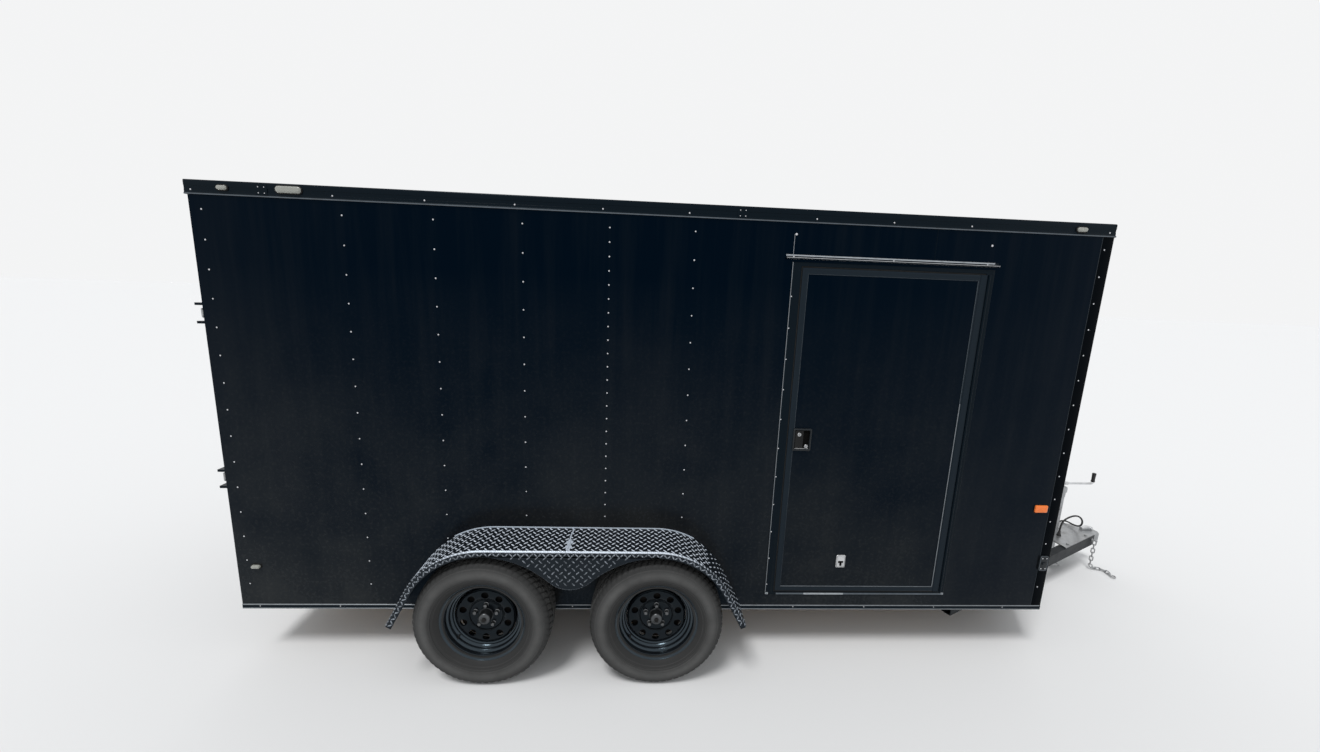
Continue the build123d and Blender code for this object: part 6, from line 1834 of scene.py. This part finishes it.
class TrailerColours(bpy.types.PropertyGroup):
    skin: colour("Skin", "Paint of the side sheets", 0.0002, 0.0012, 0.0034)
    trim: colour("Trim", "Paint of rails and trims", 0.0013, 0.0040, 0.0072)
    dust: colour("Dust", "Road dust on the paint", 0.0165, 0.0185, 0.0215)
    # Road dust on the sheets, which also serves as a painted reflection of the ground
    skin_dust_and_reflection: colour("Skin dust", "Road dust on the sheets", 0.0264, 0.0270, 0.0256)
    rubber: colour("Rubber", "Clean tyre rubber", 0.0085, 0.0088, 0.009)
    # Colour of tyre dust, which also serves as painted light on the sidewalls
    tyre_dust_and_light: colour("Tyre dust", "Dust on the tyres", 0.108, 0.108, 0.106)
    amber: colour("Amber", "Amber lenses", 1.0, 0.235, 0.042)
    red: colour("Red", "Red lenses", 0.52, 0.012, 0.010)


class TrailerStage(bpy.types.PropertyGroup):
    floor: colour("Floor", "Colour of the floor", 0.80, 0.80, 0.80)
    backdrop: colour("Backdrop", "Colour behind the trailer", 0.90, 0.905, 0.91)
    sky: FloatProperty(name="Sky", description="Strength of the light from all round", default=0.7, min=0.0)
    sun: FloatProperty(name="Sun", description="Strength of the high soft sun", default=1.6, min=0.0)


class PieceOperator:
    """Shared part of the operators: runs one maker with the scene's settings."""

    bl_options = {"REGISTER", "UNDO"}
    maker = None
    settings = "trailer_sizes"

    def execute(self, context):
        if not FINISHES:
            make_finishes(context.scene.trailer_colours)
        type(self).maker(getattr(context.scene, self.settings))
        return {"FINISHED"}


class TRAILER_OT_stage(PieceOperator, bpy.types.Operator):
    """Make the camera, floor and light"""

    bl_idname = "trailer.stage"
    bl_label = "Stage"
    maker = make_stage
    settings = "trailer_stage"


class TRAILER_OT_cord(PieceOperator, bpy.types.Operator):
    """Make the trailer cord with its gland and plug"""

    bl_idname = "trailer.cord"
    bl_label = "Trailer cord"
    maker = make_cord


class TRAILER_OT_skins(PieceOperator, bpy.types.Operator):
    """Make the side and nose sheets with their screws"""

    bl_idname = "trailer.skins"
    bl_label = "Skins"
    maker = make_skins


class TRAILER_OT_trims(PieceOperator, bpy.types.Operator):
    """Make the rails, skirts, corner trims and stone guard"""

    bl_idname = "trailer.trims"
    bl_label = "Trims"
    maker = make_trims


class TRAILER_OT_side_door(PieceOperator, bpy.types.Operator):
    """Make the side door's skin, casing, latch and hold-back"""

    bl_idname = "trailer.side_door"
    bl_label = "Side door"
    maker = make_side_door


class TRAILER_OT_fenders(PieceOperator, bpy.types.Operator):
    """Make the tread-plate fenders"""

    bl_idname = "trailer.fenders"
    bl_label = "Fenders"
    maker = make_fenders


class TRAILER_OT_wheels(PieceOperator, bpy.types.Operator):
    """Make the tyres, rims, nuts and hub caps"""

    bl_idname = "trailer.wheels"
    bl_label = "Wheels"
    maker = make_wheels


class TRAILER_OT_hitch(PieceOperator, bpy.types.Operator):
    """Make the coupler's details, lever, jack and crank"""

    bl_idname = "trailer.hitch"
    bl_label = "Hitch and jack"
    maker = make_hitch


class TRAILER_OT_chains(PieceOperator, bpy.types.Operator):
    """Make the safety chains"""

    bl_idname = "trailer.chains"
    bl_label = "Safety chains"
    maker = make_chains


class TRAILER_OT_rear(PieceOperator, bpy.types.Operator):
    """Make the ramp door's skin, bar locks and plate holder"""

    bl_idname = "trailer.rear"
    bl_label = "Rear"
    maker = make_rear


class TRAILER_OT_lamps(PieceOperator, bpy.types.Operator):
    """Make the lamps"""

    bl_idname = "trailer.lamps"
    bl_label = "Lamps"
    maker = make_lamps


class TRAILER_OT_frame(PieceOperator, bpy.types.Operator):
    """Give the shown frame nodes their finishes"""

    bl_idname = "trailer.frame"
    bl_label = "Frame finishes"
    maker = paint_frame


STEPS = (
    TRAILER_OT_stage, TRAILER_OT_cord, TRAILER_OT_frame, TRAILER_OT_skins, TRAILER_OT_trims,
    TRAILER_OT_side_door, TRAILER_OT_fenders, TRAILER_OT_wheels, TRAILER_OT_hitch, TRAILER_OT_chains,
    TRAILER_OT_rear, TRAILER_OT_lamps,
)


class TRAILER_PT_panel(bpy.types.Panel):
    """Lists the trailer's pieces in the 3D view's sidebar"""

    bl_idname = "TRAILER_PT_panel"
    bl_label = "Trailer"
    bl_space_type = "VIEW_3D"
    bl_region_type = "UI"
    bl_category = "Trailer"

    def draw(self, context):
        column = self.layout.column()
        for step in STEPS:
            column.operator(step.bl_idname)


GROUPS = {"trailer_sizes": TrailerSizes, "trailer_colours": TrailerColours, "trailer_stage": TrailerStage}


def register():
    for cls in (*GROUPS.values(), *STEPS, TRAILER_PT_panel):
        bpy.utils.register_class(cls)
    for name, group in GROUPS.items():
        setattr(bpy.types.Scene, name, PointerProperty(type=group))


def unregister():
    for name in GROUPS:
        delattr(bpy.types.Scene, name)
    for cls in (TRAILER_PT_panel, *STEPS[::-1], *list(GROUPS.values())[::-1]):
        bpy.utils.unregister_class(cls)


def main():
    """Registers the add-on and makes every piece."""
    register()
    for step in STEPS:
        group, name = step.bl_idname.split(".")
        getattr(getattr(bpy.ops, group), name)()


if __name__ == "__main__":
    main()
